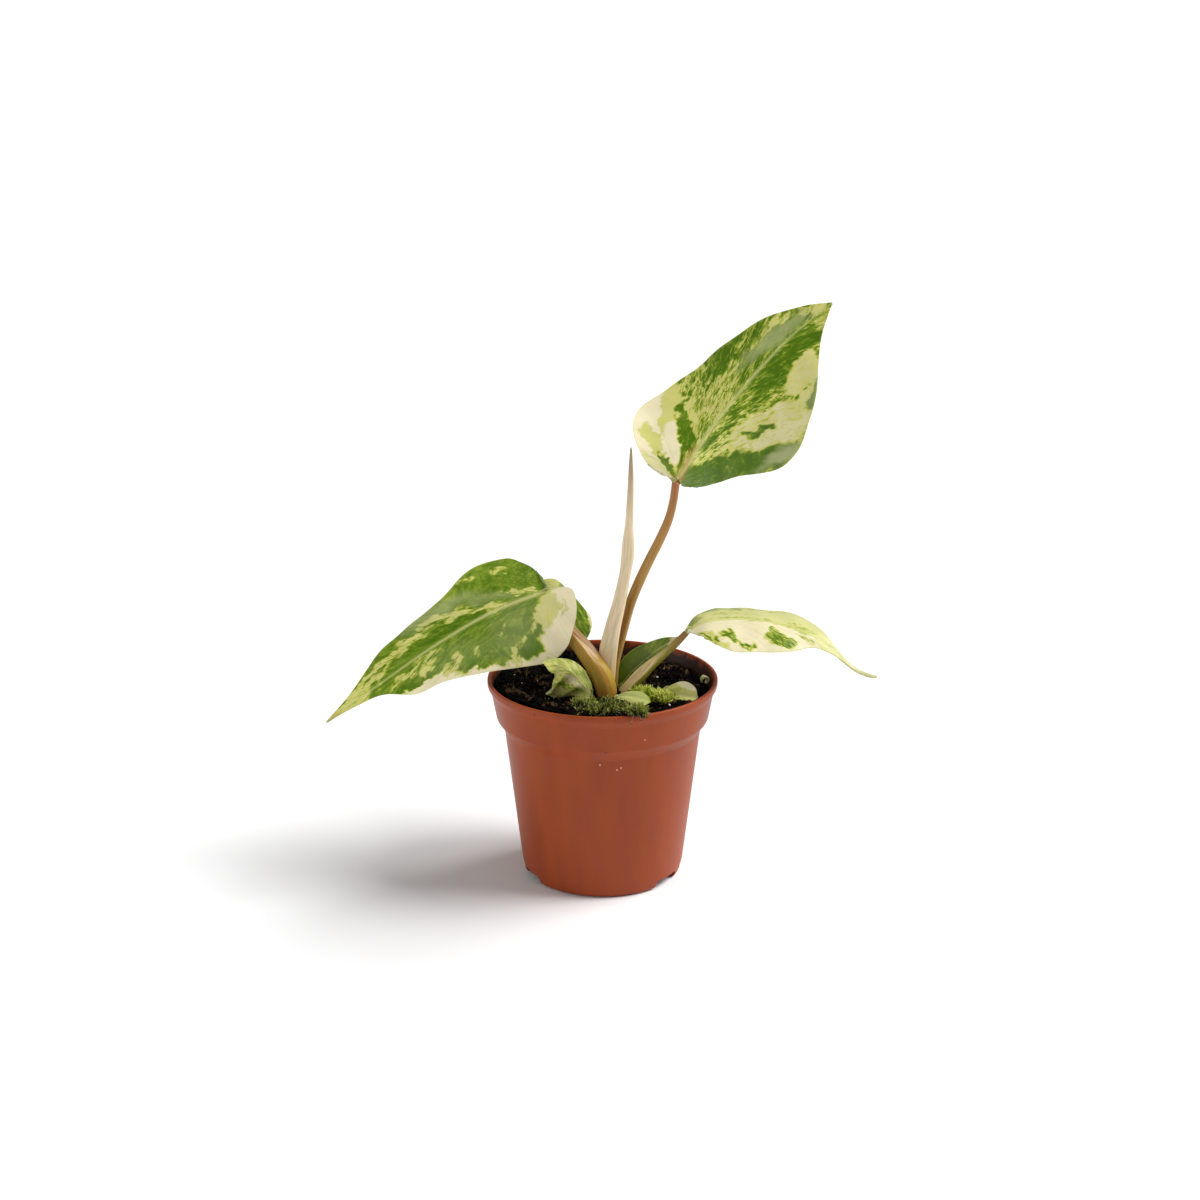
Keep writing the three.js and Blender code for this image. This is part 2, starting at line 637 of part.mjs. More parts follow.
/** A leaf blade as one thin closed shell, thicker along its midrib and split alike on both faces. */
function blade(leaf, grow = 0) {
  const form = new LeafForm(leaf);
  const shell = new Shell();
  const size = Math.min(1, form.length / 50);
  const known = new Map();
  const corner = (row, column, half, face) => {
    const a = lerp(FIRST_ROW, 1, (row / leaf.veins) ** ROW_CROWDING);
    const v = (column / leaf.cells) ** 1.25;
    const atTip = row === leaf.veins;
    const onRib = column === 0 || atTip;
    const fromJoint = a <= FAN_SHARE ? 0 : row;
    const key = onRib ? `rib ${atTip ? 'tip' : fromJoint} ${face}` : `${row} ${column} ${half} ${face}`;
    if (!known.has(key)) {
      const [x, y] = atTip ? [form.length, 0] : form.flat(a, v, half);
      const { point, normal } = form.place(x, onRib ? 0 : y, half);
      const rib = lerp(BLADE_THICKNESS, RIB_THICKNESS, size) * (1 - 0.5 * (row / leaf.veins));
      const thick = onRib ? Math.max(rib, EDGE_THICKNESS) : lerp(BLADE_THICKNESS, EDGE_THICKNESS, v);
      const shift = face > 0 ? EDGE_THICKNESS / 2 + grow : EDGE_THICKNESS / 2 - thick - grow;
      known.set(key, shell.point(point.addScaledVector(normal, shift)));
    }
    return known.get(key);
  };
  for (const half of [1, -1]) {
    const quad = (a, b, c, d) => (half > 0 ? shell.quad(a, b, c, d) : shell.quad(d, c, b, a));
    for (let row = 0; row < leaf.veins; row += 1) {
      for (let column = 0; column < leaf.cells; column += 1) {
        for (const face of [1, -1]) {
          const a = corner(row, column, half, face);
          const b = corner(row + 1, column, half, face);
          const c = corner(row + 1, column + 1, half, face);
          const d = corner(row, column + 1, half, face);
          const turned = (face > 0) === (half > 0);
          if (turned) {
            shell.triangle(a, b, c);
            shell.triangle(a, c, d);
          } else {
            shell.triangle(a, c, b);
            shell.triangle(a, d, c);
          }
        }
      }
      const last = leaf.cells;
      quad(corner(row, last, half, -1), corner(row, last, half, 1),
        corner(row + 1, last, half, 1), corner(row + 1, last, half, -1));
    }
    for (let column = 0; column < leaf.cells; column += 1) {
      quad(corner(0, column, half, -1), corner(0, column, half, 1),
        corner(0, column + 1, half, 1), corner(0, column + 1, half, -1));
    }
  }
  return shell.geometry();
}

// Stems

/** A tapering stem with a kidney-shaped section, swollen by a margin where a clearance is cut. */
function stem(spec, grow = 0, sides = STEM_SIDES) {
  const path = curveThrough(spec.path);
  const upper = vector(spec.upper);
  const shell = new Shell();
  const rings = [];
  for (let i = 0; i <= spec.steps; i += 1) {
    const t = i / spec.steps;
    const centre = path.getPointAt(t);
    const along = path.getTangentAt(t);
    if (grow > 0 && (i === 0 || i === spec.steps)) centre.addScaledVector(along, i === 0 ? -grow : grow);
    const across = new THREE.Vector3().crossVectors(upper, along).normalize();
    const above = new THREE.Vector3().crossVectors(along, across).normalize();
    const width = smoothValue(spec.widths, t) + grow;
    const depth = smoothValue(spec.depths, t) + grow;
    const groove = grow > 0 ? 0 : smoothValue(spec.groove, t);
    const ring = [];
    for (let k = 0; k < sides; k += 1) {
      const a = 2 * Math.PI * k / sides;
      const s = Math.sin(a);
      const dip = s > 0 ? 1 - groove * s * s : 1;
      const p = centre.clone().addScaledVector(across, width * Math.cos(a));
      ring.push(shell.point(p.addScaledVector(above, depth * s * dip)));
    }
    rings.push(ring);
  }
  const end = (ring, flip) => {
    for (let k = 1; k < sides - 1; k += 1) {
      if (flip) shell.triangle(ring[0], ring[k + 1], ring[k]);
      else shell.triangle(ring[0], ring[k], ring[k + 1]);
    }
  };
  for (let i = 0; i < spec.steps; i += 1) {
    for (let k = 0; k < sides; k += 1) {
      const n = (k + 1) % sides;
      shell.quad(rings[i][k], rings[i][n], rings[i + 1][n], rings[i + 1][k]);
    }
  }
  end(rings[0], true);
  end(rings[spec.steps], false);
  return shell.geometry();
}

/** The short thick stem under the soil with its roots, swollen where a clearance is cut. */
function rootstock(grow = 0) {
  const profile = [new THREE.Vector2(0, ROOTSTOCK_TOP + grow)];
  ROOTSTOCK_RADII.forEach((radius, i) => {
    const rise = i === 0 ? grow : (i === ROOTSTOCK_RADII.length - 1 ? -grow : 0);
    profile.push(new THREE.Vector2(radius + grow, ROOTSTOCK_TOP - ROOTSTOCK_DEPTHS[i] + rise));
  });
  profile.push(new THREE.Vector2(0, ROOTSTOCK_TOP - ROOTSTOCK_DEPTHS.at(-1) - grow));
  profile.reverse();
  let body = solid(lathe(profile, 12).translate(CROWN.x, CROWN.y, 0));
  for (let i = 0; i < ROOT_COUNT; i += 1) {
    const a = 2 * Math.PI * (i + 0.3) / ROOT_COUNT;
    const at = (out, down) => {
      return [CROWN.x + out * Math.cos(a), CROWN.y + out * Math.sin(a), ROOTSTOCK_TOP - down];
    };
    const spec = {
      path: [at(1, 5), at(4.5, 7), at(7.5, 7 + ROOT_LENGTH / 3), at(9, 6 + ROOT_LENGTH)],
      widths: [ROOT_RADIUS * 1.3, ROOT_RADIUS, ROOT_RADIUS * 0.5],
      depths: [ROOT_RADIUS * 1.3, ROOT_RADIUS, ROOT_RADIUS * 0.5],
      groove: [0, 0],
      upper: [-Math.sin(a), Math.cos(a), 0],
      steps: 5,
    };
    body = body.add(solid(stem(spec, grow, ROOT_SIDES)));
  }
  return body;
}

// Moss

/** A patch's share of its height at a place, from 1 in its middle to 0 at its edge and below outside. */
function patchShare(patch, x, y) {
  const [cx, cy, rx, ry] = patch;
  const u = (x - cx) / rx;
  const v = (y - cy) / ry;
  return 1 - u * u - v * v;
}

function mossCushion(patch, height) {
  const [cx, cy, rx, ry] = patch;
  const shell = new Shell();
  const sides = 12;
  const rings = 3;
  const upper = [];
  const lower = [];
  for (let i = 0; i <= rings; i += 1) {
    const share = i / rings;
    upper.push([]);
    lower.push([]);
    for (let k = 0; k < (i === 0 ? 1 : sides); k += 1) {
      const a = 2 * Math.PI * k / sides;
      const wobble = 1 + 0.12 * Math.sin(3 * a + cx) + 0.08 * Math.sin(5 * a + cy);
      const x = cx + rx * share * wobble * Math.cos(a);
      const y = cy + ry * share * wobble * Math.sin(a);
      const floor = soilTop(x, y) + GAP;
      const rise = MOSS_EDGE_HEIGHT + (height - MOSS_EDGE_HEIGHT) * Math.sqrt(1 - share * share);
      upper[i].push(shell.point(new THREE.Vector3(x, y, floor + rise)));
      lower[i].push(shell.point(new THREE.Vector3(x, y, floor)));
    }
  }
  for (let k = 0; k < sides; k += 1) {
    const n = (k + 1) % sides;
    shell.triangle(upper[0][0], upper[1][k], upper[1][n]);
    shell.triangle(lower[0][0], lower[1][n], lower[1][k]);
    for (let i = 1; i < rings; i += 1) {
      shell.quad(upper[i][k], upper[i + 1][k], upper[i + 1][n], upper[i][n]);
      shell.quad(lower[i][n], lower[i + 1][n], lower[i + 1][k], lower[i][k]);
    }
    shell.quad(upper[rings][k], lower[rings][k], lower[rings][n], upper[rings][n]);
  }
  return solid(shell.geometry());
}

/** A three-sided moss shoot that leans outward from its root. */
function mossShoot(rootPoint, lean, length) {
  const geometry = new THREE.ConeGeometry(SHOOT_WIDTH, length, 3);
  upright(geometry).translate(0, 0, length / 2);
  const up = new THREE.Vector3(lean.x, lean.y, 1).normalize();
  const turn = new THREE.Quaternion().setFromUnitVectors(new THREE.Vector3(0, 0, 1), up);
  geometry.applyQuaternion(turn).translate(rootPoint.x, rootPoint.y, rootPoint.z);
  return solid(geometry);
}

function buildMoss(moss, away) {
  const random = randomSource(moss.seed);
  let body = null;
  for (const patch of moss.patches) {
    const cushion = mossCushion(patch, moss.height);
    body = body ? body.add(cushion) : cushion;
  }
  for (let i = 0; i < moss.shoots; i += 1) {
    const patch = moss.patches[i % moss.patches.length];
    const angle = 2 * Math.PI * random();
    const reach = 0.82 * Math.sqrt(random());
    const x = patch[0] + patch[2] * reach * Math.cos(angle);
    const y = patch[1] + patch[3] * reach * Math.sin(angle);
    const share = Math.sqrt(Math.max(patchShare(patch, x, y), 0));
    const sunk = (moss.height - MOSS_EDGE_HEIGHT) * share * MOSS_OVERLAP;
    const z = soilTop(x, y) + GAP + 0.2 + sunk;
    const lean = new THREE.Vector2(Math.cos(angle), Math.sin(angle)).multiplyScalar(SHOOT_LEAN * reach);
    const length = moss.shootLength * (0.8 + 0.5 * random());
    body = body.add(mossShoot(new THREE.Vector3(x, y, z), lean, length));
  }
  for (const other of away) body = body.subtract(other);
  return mainBody(body);
}

// Curled leaf tip

/** A ribbon rolled into most of a ring that stands on its edge. */
function buildCurl() {
  const outline = new THREE.Shape();
  const inner = CURL_RADIUS - CURL_THICKNESS / 2;
  const outer = CURL_RADIUS + CURL_THICKNESS / 2;
  outline.absarc(0, 0, outer, rad(-70), rad(215), false);
  outline.absarc(0, 0, inner, rad(215), rad(-70), true);
  outline.closePath();
  const settings = { depth: CURL_WIDTH, bevelEnabled: false, curveSegments: 10 };
  const geometry = new THREE.ExtrudeGeometry(outline, settings);
  geometry.rotateX(Math.PI / 2).rotateZ(rad(35));
  return geometry.translate(...CURL_CENTRE);
}

// Assembly: each stem keeps clear of the ones before it and of its own blade

const leavesAbove = [TALL_LEAF, LEFT_LEAF, RIGHT_LEAF, BACK_LEAF].map((leaf) => solid(blade(leaf, GAP)));
const stocks = rootstock(GAP);

/** A solid with clearance cut to the rootstock, the blades and the given stems. */
function clearOf(body, specs) {
  let result = body.subtract(stocks);
  for (const other of leavesAbove) result = result.subtract(other);
  for (const spec of specs) result = result.subtract(solid(stem(spec, GAP)));
  return result;
}

const spear = clearOf(solid(stem(SPEAR)), []);
const leftStem = clearOf(solid(stem(LEFT_STEM)), [SPEAR]);
const tallStem = clearOf(solid(stem(TALL_STEM)), [SPEAR, LEFT_STEM]);
const rightStem = clearOf(solid(stem(RIGHT_STEM)), [SPEAR, LEFT_STEM, TALL_STEM]);
const backStem = clearOf(solid(stem(BACK_STEM)), [SPEAR, LEFT_STEM, TALL_STEM]);
const lowLeaf = clearOf(solid(blade(LOW_LEAF)).add(solid(stem(LOW_STEM))), [SPEAR, TALL_STEM, RIGHT_STEM]);

addPiece('pot', buildPot(), MATERIALS.pot);
addPiece('rootstock', mainBody(rootstock()), MATERIALS.rootstock);
addPiece('stem_tall', mainBody(tallStem), MATERIALS.tallStem);
addPiece('stem_left', mainBody(leftStem), MATERIALS.stem);
addPiece('stem_right', mainBody(rightStem), MATERIALS.stem);
addPiece('stem_back', mainBody(backStem), MATERIALS.stem);
addPiece('new_leaf_rolled', mainBody(spear), MATERIALS.spear);
addPiece('leaf_tall', blade(TALL_LEAF), MATERIALS.leaf);
addPiece('leaf_left', blade(LEFT_LEAF), MATERIALS.leaf);
addPiece('leaf_right', blade(RIGHT_LEAF), MATERIALS.paleLeaf);
addPiece('leaf_back', blade(BACK_LEAF), MATERIALS.leaf);
addPiece('leaf_low', mainBody(lowLeaf), MATERIALS.darkLeaf);
addPiece('leaf_crumpled', blade(CRUMPLED_LEAF), MATERIALS.paleLeaf);
addPiece('leaf_cupped', blade(CUPPED_LEAF), MATERIALS.paleLeaf);
addPiece('leaf_little', blade(LITTLE_LEAF), MATERIALS.paleLeaf);
addPiece('leaf_tip_curled', buildCurl(), MATERIALS.paleLeaf);

const overMoss = [RIGHT_STEM, LEFT_STEM].map((spec) => solid(stem(spec, GAP)))
  .concat([CUPPED_LEAF, LITTLE_LEAF, CRUMPLED_LEAF].map((leaf) => solid(blade(leaf, GAP))));
addPiece('moss_bright', buildMoss(BRIGHT_MOSS, overMoss), MATERIALS.brightMoss);
addPiece('moss_front', buildMoss(FRONT_MOSS, overMoss), MATERIALS.darkMoss);

const inSoil = [SPEAR, LEFT_STEM, TALL_STEM, RIGHT_STEM, BACK_STEM, LOW_STEM].map((spec) => stem(spec, GAP))
  .concat([CUPPED_LEAF, LITTLE_LEAF, CRUMPLED_LEAF, LOW_LEAF].map((leaf) => blade(leaf, GAP)));
let soil = solid(soilBody()).subtract(stocks);
for (const piece of inSoil) soil = soil.subtract(solid(piece));
addPiece('soil', mainBody(soil), MATERIALS.soil);

export default root;
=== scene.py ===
"""A variegated philodendron in a nursery pot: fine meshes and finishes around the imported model."""

import logging
import math
from abc import ABC, abstractmethod
from collections.abc import Callable, Sequence
from dataclasses import dataclass
from enum import Enum
from functools import cached_property

import bpy
import numpy as np
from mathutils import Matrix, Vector, noise


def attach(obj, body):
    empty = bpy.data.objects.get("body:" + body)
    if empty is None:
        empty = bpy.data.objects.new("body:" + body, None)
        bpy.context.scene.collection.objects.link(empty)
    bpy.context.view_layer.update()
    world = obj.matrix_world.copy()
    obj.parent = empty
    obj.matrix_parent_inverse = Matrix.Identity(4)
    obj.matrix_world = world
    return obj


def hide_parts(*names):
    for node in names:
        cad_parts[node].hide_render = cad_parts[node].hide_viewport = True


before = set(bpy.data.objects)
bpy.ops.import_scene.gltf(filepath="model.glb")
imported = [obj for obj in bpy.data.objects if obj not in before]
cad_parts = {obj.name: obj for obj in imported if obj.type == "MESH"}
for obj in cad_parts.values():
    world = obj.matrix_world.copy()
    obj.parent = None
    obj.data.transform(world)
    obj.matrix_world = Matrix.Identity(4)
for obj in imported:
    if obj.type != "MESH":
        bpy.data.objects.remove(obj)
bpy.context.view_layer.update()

LOG = logging.getLogger("philodendron")
MM = 0.001  # one millimetre in metres
BODY = "root"

Array = np.ndarray
Random = np.random.Generator
Piece = bpy.types.Object
Material = bpy.types.Material
Tree = bpy.types.NodeTree
Socket = bpy.types.NodeSocket
Stops = Sequence[tuple[float, str]]
Pairs = Sequence[tuple[float, float]]
Place = tuple[float, float, float]
Points = Sequence[Place]
Shape = tuple[Array, Array]  # points in millimetres and triangles
Layout = Callable[[Array, Array], tuple[Array, dict]]


# Shared tools


def linear(colour: str) -> tuple[float, float, float, float]:
    """Turn an sRGB hex colour into linear red, green, blue and alpha.

    Args:
        colour: Six hex digits after a hash.

    Returns:
        The linear colour with alpha 1.
    """
    parts = [int(colour[i:i + 2], 16) / 255 for i in (1, 3, 5)]
    bright = [c / 12.92 if c <= 0.04045 else ((c + 0.055) / 1.055) ** 2.4 for c in parts]
    return (*bright, 1.0)


def add_node(
    tree: Tree,
    kind: str,
    inputs: dict | None = None,
    stops: Stops = (),
    output: int | str = 0,
    **settings: object,
) -> Socket | None:
    """Add one node with its settings, links and ramp stops.

    Args:
        tree: The node tree it goes into.
        kind: The node's type without the word ShaderNode.
        inputs: Value or output socket for each input, by name or number.
        stops: Position and hex colour of each stop, for a colour ramp.
        output: The output that is wanted, by name or number.
        settings: The node's own properties.

    Returns:
        That output, or nothing for a node that has none.
    """
    node = tree.nodes.new(f"ShaderNode{kind}")
    for name, value in settings.items():
        setattr(node, name, value)
    for key, value in (inputs or {}).items():
        if isinstance(value, Socket):
            tree.links.new(value, node.inputs[key])
        else:
            node.inputs[key].default_value = value
    if stops:
        ramp = node.color_ramp.elements
        while len(ramp) < len(stops):
            ramp.new(0.5)
        for element, (position, colour) in zip(ramp, stops):
            element.position = position
            element.color = linear(colour)
    return node.outputs[output] if node.outputs else None


def catmull(points: Array, share: Array) -> Array:
    """Read a smooth curve through evenly counted points.

    Args:
        points: The points, one a row, or plain numbers.
        share: Where on the curve, from 0 to 1.

    Returns:
        A point for each share.
    """
    p = np.asarray(points, float)
    flat = p.ndim == 1
    if flat:
        p = p[:, None]
    ends = np.vstack([2 * p[0] - p[1], p, 2 * p[-1] - p[-2]])
    spans = len(p) - 1
    place = np.clip(share, 0, 1) * spans
    i = np.minimum(place.astype(int), spans - 1)
    u = (place - i)[:, None]
    a, b, c, d = ends[i], ends[i + 1], ends[i + 2], ends[i + 3]
    curve = 0.5 * (2 * b + (c - a) * u + (2 * a - 5 * b + 4 * c - d) * u ** 2
                   + (3 * b - 3 * c + d - a) * u ** 3)
    return curve[:, 0] if flat else curve


def unit(v: Array) -> Array:
    """Scale vectors to length 1."""
    return v / np.maximum(np.linalg.norm(v, axis=-1, keepdims=True), 1e-9)


def smoothstep(low: float, high: float, value: Array) -> Array:
    """Rise smoothly from 0 at low to 1 at high."""
    t = np.clip((value - low) / (high - low), 0, 1)
    return t * t * (3 - 2 * t)


def wander(x: Array, y: Array, size: float, seed: float) -> Array:
    """Give shifts that wander smoothly over flat points.

    Args:
        x: Place along, in millimetres.
        y: Place across, in millimetres.
        size: Millimetres over which the shifts change.
        seed: Picks another pattern.

    Returns:
        Three shifts for each point, mostly within 0.5 of zero.
    """
    places = zip((x / size).tolist(), (y / size).tolist())
    noise.seed_set(3)  # without it the offsets follow the clock
    return np.array([noise.noise_vector((a, b, seed)) for a, b in places])


class Curve:
    """A smooth curve through a list of points, measured by length in millimetres."""

    def __init__(self, points: Sequence[Sequence[float]]) -> None:
        """Sample the curve densely.

        Args:
            points: The points that it runs through.
        """
        spans = len(points) - 1
        self.samples = catmull(np.asarray(points, float), np.linspace(0, 1, 300 * spans + 1))
        steps = np.linalg.norm(np.diff(self.samples, axis=0), axis=1)
        self.reached = np.concatenate([[0], np.cumsum(steps)])
        self.length = float(self.reached[-1])

    def at(self, distance: Array) -> Array:
        """Give the points at distances from the start."""
        columns = [np.interp(distance, self.reached, column) for column in self.samples.T]
        return np.stack(columns, -1)

    def along(self, distance: Array) -> Array:
        """Give the direction of the curve.

        Args:
            distance: Distances from the start.

        Returns:
            A vector of length 1 for each.
        """
        step = min(0.15, self.length / 20)
        after = self.at(np.clip(distance + step, 0, self.length))
        before = self.at(np.clip(distance - step, 0, self.length))
        return unit(after - before)


def deselect() -> None:
    """Deselect everything, because an operator acts on all that is selected."""
    bpy.ops.object.select_all(action="DESELECT")


def only(piece: Piece) -> None:
    """Select one object alone and make it active.

    Args:
        piece: The object.
    """
    deselect()
    piece.select_set(True)
    bpy.context.view_layer.objects.active = piece


def join(pieces: Sequence[Piece]) -> Piece:
    """Join objects into the first of them.

    Args:
        pieces: The objects.

    Returns:
        The joined object.
    """
    only(pieces[0])
    for piece in pieces:
        piece.select_set(True)
    bpy.ops.object.join()
    return pieces[0]


def apply_modifiers(piece: Piece) -> None:
    """Apply all modifiers of an object in order."""
    only(piece)
    for modifier in list(piece.modifiers):
        bpy.ops.object.modifier_apply(modifier=modifier.name)


def apply_place() -> None:
    """Move the active object's place, turn and scale into its mesh."""
    bpy.ops.object.transform_apply(location=True, rotation=True, scale=True)


def edit_all(piece: Piece, operator: Callable, **settings: object) -> None:
    """Run one edit mode operator on the whole of an object.

    Args:
        piece: The object.
        operator: The operator.
        settings: The operator's own settings.
    """
    only(piece)
    bpy.ops.object.mode_set(mode="EDIT")
    bpy.ops.mesh.select_all(action="SELECT")
    operator(**settings)
    bpy.ops.mesh.select_all(action="DESELECT")
    bpy.ops.object.mode_set(mode="OBJECT")


def merge_points(piece: Piece, distance: float) -> None:
    """Merge an object's points that lie within a distance in millimetres."""
    edit_all(piece, bpy.ops.mesh.remove_doubles, threshold=distance * MM)


def face_outward(piece: Piece) -> None:
    """Turn the faces of a closed shape outward."""
    edit_all(piece, bpy.ops.mesh.normals_make_consistent, inside=False)


def smooth(piece: Piece, angle: float) -> None:
    """Shade an object smoothly across edges flatter than an angle in degrees."""
    only(piece)
    bpy.ops.object.shade_smooth_by_angle(angle=math.radians(angle))


def read_points(piece: Piece) -> Array:
    """Read where an object's vertices are.

    Args:
        piece: The object.

    Returns:
        Points in millimetres, one a row.
    """
    flat = np.empty(len(piece.data.vertices) * 3)
    piece.data.vertices.foreach_get("co", flat)
    return flat.reshape(-1, 3) / MM


def write_points(piece: Piece, points: Array) -> None:
    """Move an object's vertices to points in millimetres."""
    piece.data.vertices.foreach_set("co", (points * MM).ravel())
    piece.data.update()


def store(piece: Piece, name: str, values: Array) -> None:
    """Keep numbers or vectors on an object's vertices for its material.

    Args:
        piece: The object.
        name: What the material reads them by.
        values: One number or one vector of three for each vertex.
    """
    kind, key = ("FLOAT", "value") if values.ndim == 1 else ("FLOAT_VECTOR", "vector")
    layer = piece.data.attributes.new(name, kind, "POINT")
    layer.data.foreach_set(key, np.ascontiguousarray(values, np.float32).ravel())


def link(name: str, data: bpy.types.ID) -> Piece:
    """Put a new mesh, camera or light into the scene.

    Args:
        name: The object's name.
        data: What the object shows.

    Returns:
        The new object.
    """
    piece = bpy.data.objects.new(name, data)
    bpy.context.scene.collection.objects.link(piece)
    return piece


def from_points(name: str, points: Array, faces: Sequence[Sequence[int]]) -> Piece:
    """Make an object from points and faces.

    Args:
        name: The object's name.
        points: The points, in millimetres.
        faces: The numbers of each face's points.

    Returns:
        The new object.
    """
    mesh = bpy.data.meshes.new(name)
    mesh.from_pydata((points * MM).tolist(), [], faces)
    return link(name, mesh)


def grid_sheet(name: str, columns: int, rows: int, lay: Layout) -> Piece:
    """Add a grid and lay it out as a sheet or tube.

    Args:
        name: The object's name.
        columns: Cells across.
        rows: Cells along.
        lay: Gives points in millimetres and values to keep, for shares across and along.

    Returns:
        The laid grid, with points that fall together merged.
    """
    deselect()
    bpy.ops.mesh.primitive_grid_add(x_subdivisions=columns, y_subdivisions=rows, size=2)
    piece = bpy.context.object
    piece.name = name
    piece.data.name = name
    start = read_points(piece) * MM
    points, values = lay((start[:, 0] + 1) / 2, (start[:, 1] + 1) / 2)
    write_points(piece, points)
    for key, value in values.items():
        store(piece, key, value)
    merge_points(piece, 0.004)
    return piece


def thicken(sheet: Piece, thickness: float, offset: float, skins: Sequence[Material]) -> None:
    """Make a sheet a thin closed wall, thinner where the sheet's group "thickness" says so.

    Args:
        sheet: The sheet.
        thickness: The wall's full thickness in millimetres.
        offset: -1 where the sheet is the wall's top, 0 where it is the middle.
        skins: Materials of the upper face and of the underside.
    """
    for skin in skins:
        sheet.data.materials.append(skin)
    wall = sheet.modifiers.new("wall", "SOLIDIFY")
    wall.thickness = thickness * MM
    wall.offset = offset
    wall.vertex_group = "thickness" if "thickness" in sheet.vertex_groups else ""
    wall.material_offset = 1
    apply_modifiers(sheet)
    smooth(sheet, 70)


def merged_copies(
    name: str, shapes: Sequence[Shape], choice: Array, turns: Array, places: Array, shade: Array,
    climb: float = 0.0,
) -> Piece:
    """Join many turned and moved copies of a few small shapes into one mesh.

    Args:
        name: The object's name.
        shapes: The small shapes.
        choice: Which shape each copy is.
        turns: A 3 by 3 turn and scale for each copy.
        places: Where each copy goes, in millimetres.
        shade: How light each copy is, kept on its vertices.
        climb: How much lighter it gets for each mm up the small shape.

    Returns:
        The joined object.
    """
    points, faces, shades, total = [], [], [], 0
    for i, which in enumerate(choice):
        shape, triangles = shapes[which]
        points.append(shape @ turns[i].T + places[i])
        faces.append(triangles + total)
        shades.append(shade[i] + climb * shape[:, 2])
        total += len(shape)
    piece = from_points(name, np.vstack(points), np.vstack(faces).tolist())
    store(piece, "shade", np.concatenate(shades))
    return piece


def any_turns(random: Random, count: int) -> Array:
    """Give a random turn for each of a number of copies.

    Args:
        random: The seeded source.
        count: How many.

    Returns:
        A turn matrix for each.
    """
    w, x, y, z = unit(random.normal(size=(count, 4))).T
    rows = [
        [1 - 2 * (y * y + z * z), 2 * (x * y - z * w), 2 * (x * z + y * w)],
        [2 * (x * y + z * w), 1 - 2 * (x * x + z * z), 2 * (y * z - x * w)],
        [2 * (x * z - y * w), 2 * (y * z + x * w), 1 - 2 * (x * x + y * y)],
    ]
    return np.moveaxis(np.array(rows), -1, 0)


def place_on_body(piece: Piece, slot: str, *nodes: str) -> None:
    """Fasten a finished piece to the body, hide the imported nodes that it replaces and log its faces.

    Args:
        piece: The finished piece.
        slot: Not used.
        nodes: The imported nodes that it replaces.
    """
    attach(piece, BODY)
    if nodes:
        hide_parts(*nodes)
    LOG.info("%s: %d faces", piece.name, len(piece.data.polygons))


# Finishes


class Finish(ABC):
    """A finish, which builds its material round one surface shader."""

    title: str

    @abstractmethod
    def surface(self, tree: Tree) -> dict:
        """Make the nodes that feed the surface shader.

        Args:
            tree: The material's nodes.

        Returns:
            Values and links of the surface shader.
        """

    def material(self) -> Material:
        """Build the material.

        Returns:
            The material with its nodes.
        """
        material = bpy.data.materials.new(self.title)
        material.use_nodes = True
        tree = material.node_tree
        tree.nodes.clear()
        shader = add_node(tree, "BsdfPrincipled", self.surface(tree))
        add_node(tree, "OutputMaterial", {"Surface": shader})
        return material


class Side(Enum):
    """Which face of a blade a finish is for."""

    TOP = "top"
    UNDER = "underside"


